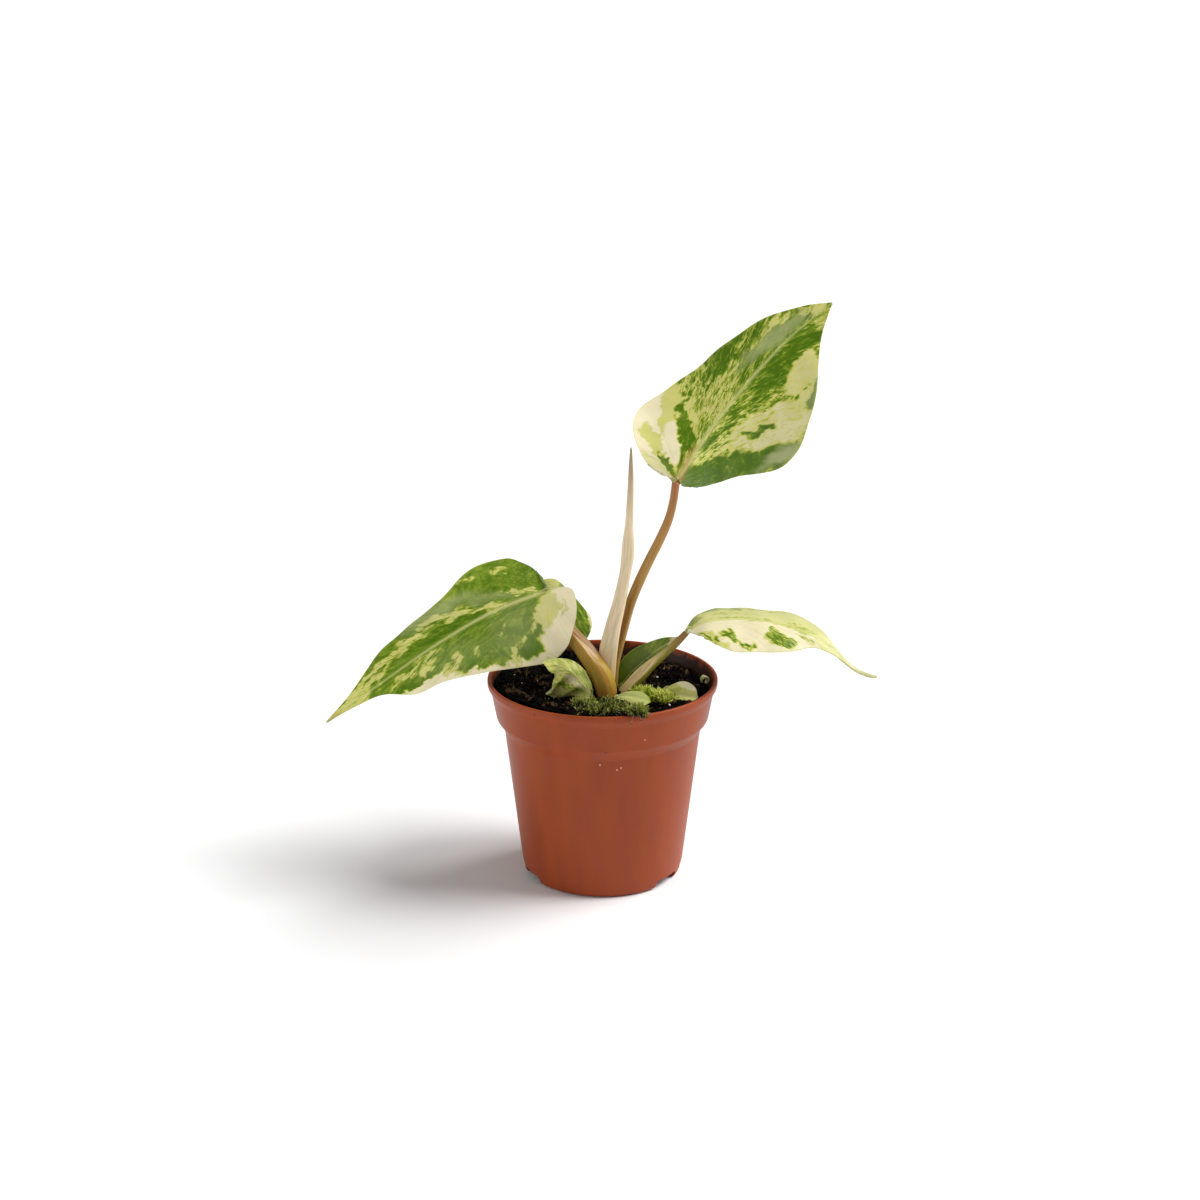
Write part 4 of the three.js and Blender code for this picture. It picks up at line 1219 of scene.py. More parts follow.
@dataclass
class Stalk:
    """A leaf stalk, round below and channelled above, closed to a point at both ends."""

    name: str
    node: str
    slot: str
    form: StalkForm
    skin: StalkSkin
    sides: int = 40
    rows: int = 110
    reach: float = 0.4  # mm that it runs on into the blade
    overlap: float = 0.0  # height of a rolled seam, as a share of the width
    twist: float = 0.0  # degrees that the seam turns along the stalk
    cap: float = 0.6  # mm over which each end closes
    seam_start: float = 200.0  # degrees round the section where the rolled seam starts
    seed: int = 1

    def lay(self, u: Array, v: Array) -> tuple[Array, dict]:
        """Place the stalk's points.

        Args:
            u: Share round the section.
            v: Share along the stalk.

        Returns:
            Points in millimetres, and values for the material.
        """
        form = self.form
        path = Curve(form.path)
        share = np.clip(v, 0, 1)
        distance = share * path.length
        along = path.along(distance)
        past = smoothstep(0.9, 1.0, share) * self.reach
        centre = path.at(distance) + along * past[:, None]
        across = unit(np.cross(np.array(form.upper), along))
        above = np.cross(along, across)
        near_end = np.minimum(distance, path.length - distance) / self.cap
        close = np.sqrt(np.clip(1 - np.clip(1 - near_end, 0, 1) ** 2, 0, 1))
        wobble = 1 + 0.035 * np.sin(9 * share + self.seed) + 0.02 * np.sin(23 * share + 2 * self.seed)
        width = catmull(form.widths, share) * wobble * close
        depth = catmull(form.depths, share) * close
        angle = 2 * math.pi * u
        sine = np.sin(angle)
        dip = np.where(sine > 0, 1 - catmull(form.groove, share) * sine ** 2, 1)
        seam = math.radians(self.twist) * share + math.radians(self.seam_start)
        past_seam = np.mod(angle - seam, 2 * math.pi) / (2 * math.pi)
        roll = 1 + self.overlap * (past_seam - 0.5)
        ridge = 1 + 0.012 * np.sin(11 * angle + 4 * share)
        p = centre + across * (width * np.cos(angle) * roll * ridge)[:, None]
        p = p + above * (depth * sine * dip * roll * ridge)[:, None]
        return p, {
            "grain": np.stack([width * np.cos(angle), depth * sine, distance + 30 * self.seed], -1),
            "upper": sine * np.clip(catmull(form.groove, share) * 1.6, 0, 1),
            "share": share,
        }

    def build(self) -> Piece:
        """Make the stalk as a closed tube and dress it.

        Returns:
            The finished stalk.
        """
        stalk = grid_sheet(self.name, self.sides, self.rows, self.lay)
        face_outward(stalk)
        stalk.data.materials.append(self.skin.material())
        smooth(stalk, 60)
        return stalk

    def finish(self) -> None:
        """Build the stalk and fasten it to the body."""
        place_on_body(self.build(), self.slot, self.node)


# Forms, in millimetres

TALL_LEAF = LeafForm(
    midrib=((18.8, 2, 105.8), (31.1, 11.4, 121.6), (46.2, 19.4, 137.1), (59.3, 24, 147.4)),
    faces=((0.1, -0.8, 0.5), (0, -0.75, 0.6), (-0.1, -0.7, 0.7)),
    left=Half(
        outline=(
            (0, 4.3), (0, 9.5), (6, 17), (13, 20.4), (20, 19), (27, 16.6), (34, 15), (41, 13),
            (48, 10.2), (56, 5),
        ),
        fold=(5, 20, 16, 4), curl=(0, 7, 7, 4),
    ),
    right=Half(
        outline=(
            (0.9, 3.8), (2.7, 7.8), (6, 12.8), (13, 17), (20, 22), (27, 21.9), (34, 18.9), (41, 15.5),
            (48, 10.6), (55, 4.9),
        ),
        fold=(64, 30, 8, 4), curl=(12, 5, 2, 4),
    ),
    lobe_bend=0.03,
)

LEFT_LEAF = LeafForm(
    midrib=(
        (-14.3, -3, 78), (-28, -4.5, 72.8), (-43, -7.5, 64.6), (-58, -11.5, 54.8), (-70.5, -16, 47),
    ),
    faces=((-0.3, -0.7, 0.7), (-0.25, -0.75, 0.65), (-0.2, -0.8, 0.6)),
    left=Half(
        outline=(
            (-3.2, 0.2), (-6.3, 2), (-6, 6.1), (-3.8, 10.5), (1, 15.8), (6, 17.4), (15, 15.8),
            (25, 12.5), (35, 9.1), (43, 7.6), (50, 2.8), (57, 1.2),
        ),
        fold=(25, 22, 17, 11), curl=(12, 9, 6, 5),
    ),
    right=Half(
        outline=(
            (0.1, 2), (0.5, 5), (0.8, 8), (2, 11.2), (4.1, 14.4), (8, 17.4), (15, 16.6), (25, 11.2),
            (35, 9.2), (43, 8.1), (50, 5.6), (57, 2.4),
        ),
        fold=(15, 4, 2, 4), curl=(12, 4, 5, 5),
    ),
    lobe_bend=0.014,
)

RIGHT_LEAF = LeafForm(
    midrib=(
        (21.9, -4, 67.4), (28, -4, 70.1), (40, -4, 70.2), (52, -5, 67.2), (58.5, -6.2, 63.4),
        (64.3, -7.4, 58.8), (67.6, -8, 57.3), (70.5, -8.6, 56.7),
    ),
    faces=((0.1, -0.2, 1), (0.15, -0.3, 0.95), (0.2, -0.4, 0.9)),
    left=Half(
        outline=(
            (0, 1.8), (5, 6.9), (12, 9.5), (20, 9.1), (28, 7.1), (35, 3.7), (40, 1.3), (43.5, 0.5),
            (47, 0.4),
        ),
        fold=(2, 9, -3, 0), curl=(15, 16, 8, 4),
    ),
    right=Half(
        outline=(
            (1.2, 1), (5, 6), (12, 9.6), (20, 9.1), (28, 7.2), (35, 2.8), (40, 1.1), (43.5, 0.5),
            (47, 0.4),
        ),
        fold=(18, 21, 20, 16), curl=(12, 11, 8, 4),
    ),
    lobe_bend=0.03,
)

BACK_LEAF = LeafForm(
    midrib=(
        (-15.9, 3.6, 78.1), (-12, 2.4, 76), (-8.7, 1.4, 71.4), (-6.9, 1.2, 65.7), (-6.4, 1.6, 60.6),
    ),
    faces=((0.3, -0.6, 0.7), (0.45, -0.75, 0.45), (0.45, -0.88, 0.1)),
    left=Half(
        outline=(
            (0.3, 1.4), (2.5, 3), (6, 3.1), (9, 3.6), (12, 4.7), (15, 5.8), (17.5, 5), (20, 2.2),
        ),
        fold=(6, 6, 6), curl=(25, 25, 20),
    ),
    right=Half(
        outline=(
            (0.3, 1.2), (2.5, 2.4), (6, 2.6), (9, 3), (12, 3.8), (15, 4.4), (17.5, 3.6), (20, 1.4),
        ),
        fold=(6, 6, 6), curl=(25, 25, 20),
    ),
    lobe_bend=0.03,
)

LOW_LEAF = LeafForm(
    midrib=(
        (4.4, -1.6, 51.2), (6.8, -1.6, 54.4), (9.8, -1.5, 57.6), (15.5, -1.5, 62.2), (20.6, -1.6, 65),
    ),
    faces=((-0.35, -0.9, 0.3), (-0.35, -0.85, 0.35), (-0.3, -0.85, 0.45)),
    left=Half(
        outline=((0.6, 1.6), (4, 3.6), (9, 4.1), (14, 2.9), (18, 1.6)),
        fold=(-10, -8, -5), curl=(20, 20, 15),
    ),
    right=Half(
        outline=((0.6, 1.4), (4, 2.8), (9, 3.3), (14, 2.8), (18, 1.7)),
        fold=(-10, -8, -5), curl=(20, 20, 15),
    ),
)

CRUMPLED_LEAF = LeafForm(
    midrib=((-2.9, -10.2, 51.9), (-5.6, -10.9, 56), (-9.4, -11.6, 60), (-15.4, -12.6, 62.2)),
    faces=((0.1, -0.9, 0.3), (0, -0.95, 0.3), (-0.1, -0.85, 0.5)),
    left=Half(
        outline=((1.8, 4.2), (4.8, 8.2), (9.5, 8.8), (12.2, 5.6), (12.6, 2.6), (14.6, 2)),
        fold=(10, 14, 10), curl=(18, 10, 0),
    ),
    right=Half(
        outline=((2.4, 1.9), (6.5, 2.9), (10.5, 2.5), (14, 1.4)),
        fold=(30, 25, 20), curl=(20, 20, 10),
    ),
    wave_height=0.55,
    wave_count=3.5,
)

CUPPED_LEAF = LeafForm(
    midrib=((13.6, -8.4, 51.6), (17, -9.4, 51.8), (20.6, -10.4, 52), (24.4, -11.2, 51.6)),
    faces=((0, -0.25, 0.97), (0.05, -0.4, 0.9), (0.1, -0.5, 0.85)),
    left=Half(
        outline=((1.2, 0.9), (4, 2.8), (7.2, 3.9), (10, 2.6)),
        fold=(-25, -30, -28), curl=(10, 20, 60),
    ),
    right=Half(
        outline=((1.2, 0.7), (4, 1.6), (7.2, 2.2), (10, 1.6)),
        fold=(-8, -5, -5), curl=(-40, -60, -60),
    ),
)

LITTLE_LEAF = LeafForm(
    midrib=((3.4, -12.8, 52.4), (6.2, -13.8, 53.1), (9.2, -14.8, 52.9), (12.2, -15.4, 52.2)),
    faces=((0, -0.45, 0.9), (0, -0.4, 0.92), (0.1, -0.4, 0.92)),
    left=Half(
        outline=((0.9, 0.7), (3.2, 1.4), (6, 2), (8.2, 1.3)),
        fold=(-5, -10, -5), curl=(-30, -30, -30),
    ),
    right=Half(
        outline=((0.9, 0.8), (3.2, 1.5), (6, 2.3), (8.2, 1.7)),
        fold=(5, 10, 10), curl=(30, 30, 30),
    ),
)

TALL_STEM = StalkForm(
    path=(
        (2.4, -1.2, 48.9), (2.5, -1.2, 53), (2.9, -1.1, 57.5), (3.9, -1, 62), (5.4, -0.9, 67.6),
        (7.4, -0.9, 74.6), (9.7, -0.8, 80.4), (12.1, -0.4, 85.6), (14.6, 0.2, 90.6), (16.8, 0.8, 95.7),
        (18, 1.3, 100.4), (18.6, 1.8, 104.9),
    ),
    widths=(1.6, 1.5, 1.45, 1.35, 1.25, 1.12, 1.08),
    depths=(1.6, 1.5, 1.4, 1.25, 1.15, 1.0, 0.95),
    groove=(0.5, 0.7, 0.8, 0.5, 0.15, 0.1, 0),
    upper=(-0.5, -0.8, 0.2),
)

SPEAR = StalkForm(
    path=(
        (0.8, -5.1, 49.2), (0.8, -5.1, 55), (1.3, -4.7, 62), (2.55, -4, 68.5), (4.1, -3.2, 74.6),
        (5.3, -2.4, 80.4), (6.2, -1.7, 86), (6.5, -1, 91), (6.8, -0.3, 97), (7.1, 0.6, 105.5),
        (7.2, 1.8, 114.7),
    ),
    widths=(2.2, 2.3, 2.2, 1.9, 1.6, 1.42, 1.72, 1.1, 0.88, 0.64, 0.2),
    depths=(1.6, 1.7, 1.65, 1.5, 1.35, 1.15, 1, 0.8, 0.65, 0.5, 0.2),
    groove=(0, 0, 0.15, 0.2, 0.2, 0.2, 0.2, 0.15, 0.1, 0, 0),
    upper=(-0.3, -0.95, 0.2),
)

LEFT_STEM = StalkForm(
    path=(
        (1.4, -7.6, 48.6), (1.2, -7.8, 51), (0.7, -7.7, 54), (-0.7, -7.2, 57.2), (-2.4, -6.4, 60.1),
        (-4.7, -5.1, 63.3), (-7.1, -3.9, 66), (-9.6, -2.9, 68.8), (-12.6, -1.7, 73.8),
        (-14.2, -1.2, 76.4),
    ),
    widths=(2.9, 3, 2.9, 2.6, 2.1, 1.6, 1.15, 0.95),
    depths=(2.4, 2.6, 2.8, 2.9, 2.85, 2.5, 1.3, 0.95),
    groove=(0, 0, 0.1, 0.6, 1.1, 1.2, 0.5, 0.1),
    upper=(0.6, -0.35, 0.7),
)

RIGHT_STEM = StalkForm(
    path=(
        (4.4, -7.7, 48.9), (5.3, -7.1, 51.6), (8.2, -6.3, 54.7), (11.3, -5.6, 57.7), (14.6, -5, 60.4),
        (17.4, -4.6, 62.8), (19.6, -4.3, 64.9), (21.2, -4.1, 66.6),
    ),
    widths=(1.4, 1.6, 1.7, 1.6, 1.25, 1.05, 0.95, 0.8),
    depths=(1.4, 1.8, 2.05, 1.9, 1.35, 1.1, 1, 0.8),
    groove=(0.6, 0.9, 1.0, 0.9, 0.3, 0.15, 0.1, 0),
    upper=(-0.6, -0.45, 0.65),
)

BACK_STEM = StalkForm(
    path=(
        (0.8, -2.2, 48.9), (-0.1, -1.9, 51.7), (-1.6, -0.9, 54.9), (-3.6, 0.7, 57.6),
        (-5.9, 2.7, 59.8), (-8.3, 4.6, 62), (-11.1, 6.2, 65.2), (-13.9, 7, 69.6), (-15.7, 6.4, 74),
        (-16.1, 4.8, 77.6),
    ),
    widths=(0.95, 0.85, 0.75, 0.6),
    depths=(0.9, 0.8, 0.7, 0.55),
    groove=(0, 0.1, 0.1, 0),
    upper=(0.7, 0.5, 0.6),
)

LOW_STEM = StalkForm(
    path=((4.9, -3.4, 48.9), (4.6, -2.4, 50.2), (5, -1.7, 52.2)),
    widths=(0.9, 0.8, 0.55),
    depths=(0.9, 0.8, 0.55),
    groove=(0, 0, 0),
    upper=(-0.5, -0.6, 0.3),
)

# Markings on the flat leaves, in millimetres

TALL_MARKS = (
    Mark(Tone.CREAM, 9, 15, 14, 7.5, 25, 0.1),
    Mark(Tone.STRAW, 6.5, 11.5, 5.2, 2.2, 62, 0.12),
    Mark(Tone.STRAW, 16, 13.4, 8, 2.9, 34, 0.12),
    Mark(Tone.CREAM, 8, 6.4, 6.8, 2, 38, 0.12),
    Mark(Tone.BUTTER, 0.2, 6.5, 6, 2, 80, 0.15),
    Mark(Tone.DEEP, 2.7, 5, 3.1, 0.9, 62, 0.3),
    Mark(Tone.LIME, 13, 3, 8, 1.7, 22, 0.9),
    Mark(Tone.DEEP, 14.8, 7, 9.6, 2.1, 34, 0.4),
    Mark(Tone.STRAW, 19.5, 8.8, 7.5, 1.5, 44, 0.4),
    Mark(Tone.LIME, 25, 5, 9, 4.2, 40, 1.0),
    Mark(Tone.LIME, 25.5, 12.5, 5.5, 4, 50, 1.0),
    Mark(Tone.DEEP, 35.5, 11.5, 8.5, 3.8, 8, 0.65),
    Mark(Tone.LIME, 32, 5.5, 4.5, 1.6, 40, 0.8),
    Mark(Tone.LEAF, 43, 8, 8, 2.8, -18, 0.8),
    Mark(Tone.LEAF, 46, 3.4, 10, 2.3, -8, 0.3),
    Mark(Tone.LIME, 50, 6.2, 4, 1, -16, 0.8),
    Mark(Tone.STRAW, 57, 2.6, 4.5, 1.6, -18, 0.7),
    Mark(Tone.DEEP, 6.5, -8.5, 10, 4.3, -52, 0.35),
    Mark(Tone.DEEP, 16, -14, 9.5, 5.2, -32, 0.45),
    Mark(Tone.STRAW, 14.5, -5.6, 9, 2.6, -30, 1.0),
    Mark(Tone.LEAF, 25, -3.2, 13, 2.6, -4, 1.0),
    Mark(Tone.DEEP, 43, -3.4, 12.5, 3, 0, 0.65),
    Mark(Tone.BUTTER, 27.5, -12, 11.5, 5.4, -28, 0.3),
    Mark(Tone.PRIMROSE, 24, -8.6, 8, 2, -26, 0.4),
    Mark(Tone.BUTTER, 31.5, -15.6, 7, 2.6, 10, 0.2),
    Mark(Tone.DEEP, 24.5, -10.4, 4.8, 1, -34, 0.5),
    Mark(Tone.DEEP, 23, -19.2, 6.5, 2.1, -12, 0.25),
    Mark(Tone.LIME, 33.5, -8.6, 4, 1.6, -20, 0.9),
    Mark(Tone.PRIMROSE, 43, -9.6, 8.5, 3.6, 6, 0.15),
    Mark(Tone.PRIMROSE, 37.5, -13, 7, 2.4, 12, 0.3),
    Mark(Tone.LEAF, 34, -9.4, 3, 0.6, -20, 0.5),
    Mark(Tone.LEAF, 38.5, -11.6, 2.6, 0.35, -14, 0.8),
    Mark(Tone.DEEP, 41, -15, 4.6, 0.9, 22, 0.3),
    Mark(Tone.LIME, 58, -1.8, 4, 1.4, 25, 0.7),
)
TALL_BLUSH = (Stain(3.5, 0, 7, 1.1, 0, 0.4), Stain(0.6, 0, 1.8, 1.6, 0, 0.5))
# Painted sheen on the tall leaf: pale grey-green patches that stand for its gloss.
TALL_SHEEN = (
    Stain(2.4, 5.6, 3.4, 1.2, 70, 0.12),
    Stain(24.5, -20, 6.5, 1.8, -8, 0.75),
    Stain(46, 3.4, 10, 2.2, -8, 0.55),
    Stain(41, -15, 5, 1.2, 22, 0.4),
)
LEFT_MARKS = (
    Mark(Tone.CREAM, -2, 8.5, 11, 6.3, 62, 0.1),
    Mark(Tone.PRIMROSE, 1.6, 4.4, 4.8, 3, 60, 0.15),
    Mark(Tone.PRIMROSE, -2.6, 5.6, 1.5, 0.7, 80, 0.1),
    Mark(Tone.CREAM, 10, 15.8, 11, 1.7, -10, 0.3),
    Mark(Tone.CREAM, 27, 12.3, 9, 1.8, -16, 0.35),
    Mark(Tone.CREAM, 39, 7.8, 9.5, 1.6, -8, 0.25),
    Mark(Tone.DEEP, 9, 12, 4.6, 2.2, 52, 0.25),
    Mark(Tone.STRAW, 12.5, 11.6, 5.5, 0.8, 40, 0.8),
    Mark(Tone.LIME, 9.5, 9, 5, 0.7, 38, 0.8),
    Mark(Tone.DEEP, 22.5, 10.2, 6, 1.2, -6, 0.35),
    Mark(Tone.STRAW, 31, 6.8, 3.2, 1.5, 24, 0.9),
    Mark(Tone.LIME, 23.5, 6.8, 2.2, 0.8, 40, 0.8),
    Mark(Tone.LIME, 15, 5, 1.6, 0.5, 40, 0.8),
    Mark(Tone.DEEP, 41, 5.4, 7, 0.7, -4, 0.3),
    Mark(Tone.LIME, 40, 2.2, 9, 1.1, 2, 0.9),
    Mark(Tone.STRAW, 37.5, 4.3, 2.4, 0.8, 10, 0.8),
    Mark(Tone.LIME, 22.5, -3.8, 12.5, 1.7, -19, 1.1),
    Mark(Tone.STRAW, 26, -5.4, 5.5, 1, -16, 0.9),
    Mark(Tone.LIME, 6, -2.4, 5.5, 1.2, -26, 0.9),
    Mark(Tone.DEEP, 27, -2.2, 11, 1.6, -5, 0.5),
    Mark(Tone.STRAW, 37, -5.4, 4.5, 1.3, -6, 0.8),
    Mark(Tone.STRAW, 44.5, -3.8, 5.5, 1.5, 4, 0.9),
    Mark(Tone.STRAW, 53, -1.8, 8, 1.9, 12, 0.55),
    Mark(Tone.LEAF, 49, -2.6, 4.5, 0.4, 8, 0.6),
    Mark(Tone.STRAW, 59, 0.4, 7, 1.3, 0, 0.7),
    Mark(Tone.LIME, 10, -13, 0.9, 2.2, 0, 0.6),
    Mark(Tone.LIME, 18, -12.5, 1.6, 0.5, -30, 0.6),
)
LEFT_BLUSH = (Stain(64, 0, 3, 1.0, 0, 0.35),)
# Painted sheen on the left leaf.
LEFT_SHEEN = (
    Stain(29, -8.8, 11, 2.4, -8, 0.45),
    Stain(12, 7, 9, 6, 24, 0.25),
    Stain(28, 6, 12, 4, -6, 0.15),
    Stain(15, -5, 7, 1.6, -22, 0.3),
)
RIGHT_MARKS = (
    Mark(Tone.STRAW, 8, 5.6, 8, 3, 14, 0.6),
    Mark(Tone.LEAF, 2, 2.6, 2.6, 1.6, 40, 0.5),
    Mark(Tone.LEAF, 10, 7.6, 6, 1, 4, 0.9),
    Mark(Tone.LIME, 17, 8, 7, 0.9, -4, 1.0),
    Mark(Tone.LIME, 12, 3.6, 4, 0.6, 4, 0.9),
    Mark(Tone.LIME, 18, 0.5, 11, 0.35, 0, 0.5),
    Mark(Tone.LIME, 30.5, 0.8, 6.5, 0.9, 0, 0.9),
    Mark(Tone.STRAW, 6, -6, 5, 2.4, -40, 0.3),
    Mark(Tone.LEAF, 4.5, -4, 1.9, 0.5, -40, 0.6),
    Mark(Tone.LEAF, 8, -5.8, 1.5, 0.45, -30, 0.6),
    Mark(Tone.LEAF, 10.8, -5.2, 2.6, 0.7, -36, 0.7),
    Mark(Tone.LEAF, 15.5, -7.5, 2.8, 0.6, -26, 0.8),
    Mark(Tone.LEAF, 25, -4.4, 4, 1.7, -2, 0.9),
    Mark(Tone.LEAF, 23.6, -2.2, 1.8, 0.8, -10, 0.8),
    Mark(Tone.LIME, 32, -1.4, 3, 0.6, -12, 1.0),
    Mark(Tone.PRIMROSE, 40, 0, 7, 1.5, 0, 0.3),
    Mark(Tone.CREAM, 49, 0, 6, 1.5, 0, 0.15),
)
# Painted sheen on the right leaf.
RIGHT_SHEEN = (
    Stain(18, 6, 24, 6, 0, 0.42),
    Stain(13, 8, 10, 1.6, 0, 0.6),
    Stain(14, 0.6, 18, 1.2, 0, 0.35),
    Stain(27, 6.4, 5, 1.1, -6, 0.7),
    Stain(36, 3.4, 6, 0.8, -24, 0.6),
    Stain(42, 0, 12, 3, 0, 0.3),
    Stain(47, 0, 6, 3, 0, 0.6),
)
BACK_MARKS = (
    Mark(Tone.STRAW, 2, 0, 3, 3, 0, 0.4),
    Mark(Tone.CREAM, 15, 5.6, 6, 0.9, -6, 0.3),
)
LOW_MARKS = (
    Mark(Tone.CREAM, 19.8, 0, 2.4, 3, 0, 0.2),
    Mark(Tone.LEAF, 15, 1.2, 3.5, 2.2, 0, 0.4),
)
# Painted sheen on the low leaf.
LOW_SHEEN = (Stain(11, 0, 6, 4, 0, 0.18),)
CRUMPLED_MARKS = (
    Mark(Tone.LEAF, 6, 3, 6, 0.6, 25, 0.8),
    Mark(Tone.LIME, 9, 5.5, 4, 0.6, 30, 0.9),
    Mark(Tone.LIME, 5, 6.6, 3, 0.6, 10, 0.9),
    Mark(Tone.CREAM, 6.5, 1.2, 3.5, 0.5, 10, 0.3),
)
CRUMPLED_BLUSH = (Stain(8, 8, 6, 1.6, 0, 0.15),)
# Painted sheen on the crumpled leaf.
CRUMPLED_SHEEN = (Stain(7, -1, 9, 2, 0, 0.25),)
CUPPED_MARKS = (
    Mark(Tone.LIME, 4.8, 1.4, 2, 0.6, 10, 0.2),
    Mark(Tone.LIME, 1.6, 0, 2, 1.6, 0, 0.2),
    Mark(Tone.CREAM, 8.5, 2.8, 3.5, 0.9, -10, 0.2),
)
# Painted sheen on the cupped leaf.
CUPPED_SHEEN = (Stain(5, 0, 4, 2, 0, 0.25),)
# Painted sheen on the little leaf.
LITTLE_SHEEN = (Stain(4, 0, 6, 3, 0, 0.5),)


# Pot


@dataclass
class NurseryPot:
    """A thin moulded pot: rolled lip, wide band, step, tapered wall and a notched foot. Millimetres."""

    height: float = 53.5
    rim_radius: float = 30.0
    wall: float = 0.9
    lip_depth: float = 1.5
    lip_flare: float = 1.8
    band_bottom: float = 43.2
    band_top_radius: float = 29.0
    band_bottom_radius: float = 27.7
    step_bottom: float = 40.2
    step_radius: float = 25.7
    ledge_height: float = 1.2
    ledge_radius: float = 26.8
    foot_radius: float = 20.2
    foot_rounding: float = 1.1
    foot_flare_top: float = 3.4
    foot_width: float = 1.5
    floor_bottom: float = 2.6
    floor_thickness: float = 1.0
    sides: int = 160
    notch_angles: Sequence[float] = (-65, 55, 175)  # degrees from the front, turning toward +X
    notch_width: float = 9.2
    notch_height: float = 2.2
    notch_rounding: float = 1.2
    edge_rounding: float = 0.28
    sharpest_bend: float = 14.0  # degrees, past which an edge is rounded
    centre_hole: float = 3.0
    ring_hole: float = 2.4
    ring_holes: int = 6
    ring_circle: float = 12.5
    cutter_margin: float = 4.0  # mm by which a notch's cutter is longer than the foot is wide
    cutter_depth: float = 4.0  # mm, the length of a hole's cutter

    def profile(self) -> Pairs:
        """List the wall's section, from the centre hole's lower edge round to its upper edge.

        Returns:
            Radius and height of each corner.
        """
        flare_bottom = self.height - self.lip_depth - self.lip_flare
        floor_top = self.floor_bottom + self.floor_thickness
        inner_foot = self.foot_radius - self.foot_width
        return (
            (self.centre_hole, self.floor_bottom),
            (inner_foot, self.floor_bottom),
            (inner_foot, 0.0),
            (self.foot_radius - 0.2, 0.0),
            (self.foot_radius + 0.4, 0.6),
            (self.foot_radius + self.foot_rounding, self.foot_flare_top),
            (self.step_radius, self.step_bottom),
            (self.ledge_radius, self.band_bottom - self.ledge_height),
            (self.band_bottom_radius, self.band_bottom),
            (self.band_top_radius, flare_bottom),
            (self.rim_radius, self.height - self.lip_depth),
            (self.rim_radius, self.height),
            (self.rim_radius - self.wall, self.height),
            (self.band_top_radius - self.wall, flare_bottom),
            (self.band_bottom_radius - self.wall, self.band_bottom),
            (self.step_radius - self.wall, self.step_bottom),
            (self.foot_radius + self.foot_rounding - self.wall, floor_top),
            (self.centre_hole, floor_top),
        )

    def shell(self) -> Piece:
        """Draw a ring through the profile by extruding and scaling it.

        Returns:
            The closed wall and floor, with rounded edges.
        """
        points = self.profile()
        radius, height = points[0]
        deselect()
        bpy.ops.mesh.primitive_circle_add(
            vertices=self.sides, radius=radius * MM, location=(0, 0, height * MM), enter_editmode=True,
        )
        for new_radius, new_height in points[1:]:
            bpy.ops.mesh.extrude_edges_move(
                TRANSFORM_OT_translate={"value": (0, 0, (new_height - height) * MM)},
            )
            scale = new_radius / radius
            bpy.ops.transform.resize(value=(scale, scale, 1), center_override=(0, 0, 0))
            radius, height = new_radius, new_height
        bpy.ops.mesh.select_all(action="DESELECT")
        bpy.ops.mesh.select_non_manifold()
        bpy.ops.mesh.bridge_edge_loops()
        bpy.ops.object.mode_set(mode="OBJECT")
        pot = bpy.context.object
        pot.name = "nursery_pot"
        merge_points(pot, 0.01)
        face_outward(pot)
        apply_place()
        edges = pot.modifiers.new("rounding", "BEVEL")
        edges.width = self.edge_rounding * MM
        edges.segments = 3
        edges.limit_method = "ANGLE"
        edges.angle_limit = math.radians(self.sharpest_bend)
        apply_modifiers(pot)
        return pot

    def notch(self, angle: float) -> Piece:
        """Make the cutter of one notch in the foot.

        Args:
            angle: Degrees from the front, turning toward +X.

        Returns:
            A block with rounded edges.
        """
        turn = math.radians(angle)
        middle = (self.foot_radius - self.foot_width / 2) * MM
        reach = self.foot_width + self.cutter_margin
        deselect()
        bpy.ops.mesh.primitive_cube_add(
            size=1,
            location=(middle * math.sin(turn), -middle * math.cos(turn), 0),
            rotation=(0, 0, turn),
            scale=(self.notch_width * MM, reach * MM, 2 * self.notch_height * MM),
        )
        apply_place()
        block = bpy.context.object
        corners = block.modifiers.new("corners", "BEVEL")
        corners.width = self.notch_rounding * MM
        corners.segments = 6
        apply_modifiers(block)
        return block

    def hole(self, turn: float) -> Piece:
        """Make the cutter of one drain hole.

        Args:
            turn: Radians round the ring of holes.

        Returns:
            A round bar through the floor.
        """
        x = self.ring_circle * math.cos(turn) * MM
        y = self.ring_circle * math.sin(turn) * MM
        middle = (self.floor_bottom + self.floor_thickness / 2) * MM
        deselect()
        bpy.ops.mesh.primitive_cylinder_add(
            vertices=32, radius=self.ring_hole * MM, depth=self.cutter_depth * MM,
            location=(x, y, middle),
        )
        apply_place()
        return bpy.context.object

    def build(self) -> None:
        """Make the pot and dress it, with painted shade and peat on its inner wall above the soil."""
        pot = self.shell()
        cutters = [self.notch(angle) for angle in self.notch_angles]
        step = 2 * math.pi / self.ring_holes
        cutters += [self.hole((i + 0.5) * step) for i in range(self.ring_holes)]
        cut = pot.modifiers.new("openings", "BOOLEAN")
        cut.operation = "DIFFERENCE"
        cut.solver = "EXACT"
        cut.object = join(cutters)
        apply_modifiers(pot)
        bpy.data.objects.remove(cutters[0])
        pot.data.materials.clear()
        pot.data.materials.append(MouldedPot().material())
        smooth(pot, 32)
        points = read_points(pot)
        radius = np.hypot(points[:, 0], points[:, 1])
        inside = radius < self.inner_radius(points[:, 2]) + 0.3
        low = 1 - smoothstep(51.0, 54.0, points[:, 2])
        # painted shade with peat on the inner wall, strongest just above the soil
        store(pot, "shaded_and_soiled", np.where(inside, 0.34 + 0.55 * low, 0.0))
        place_on_body(pot, "pot", "pot")

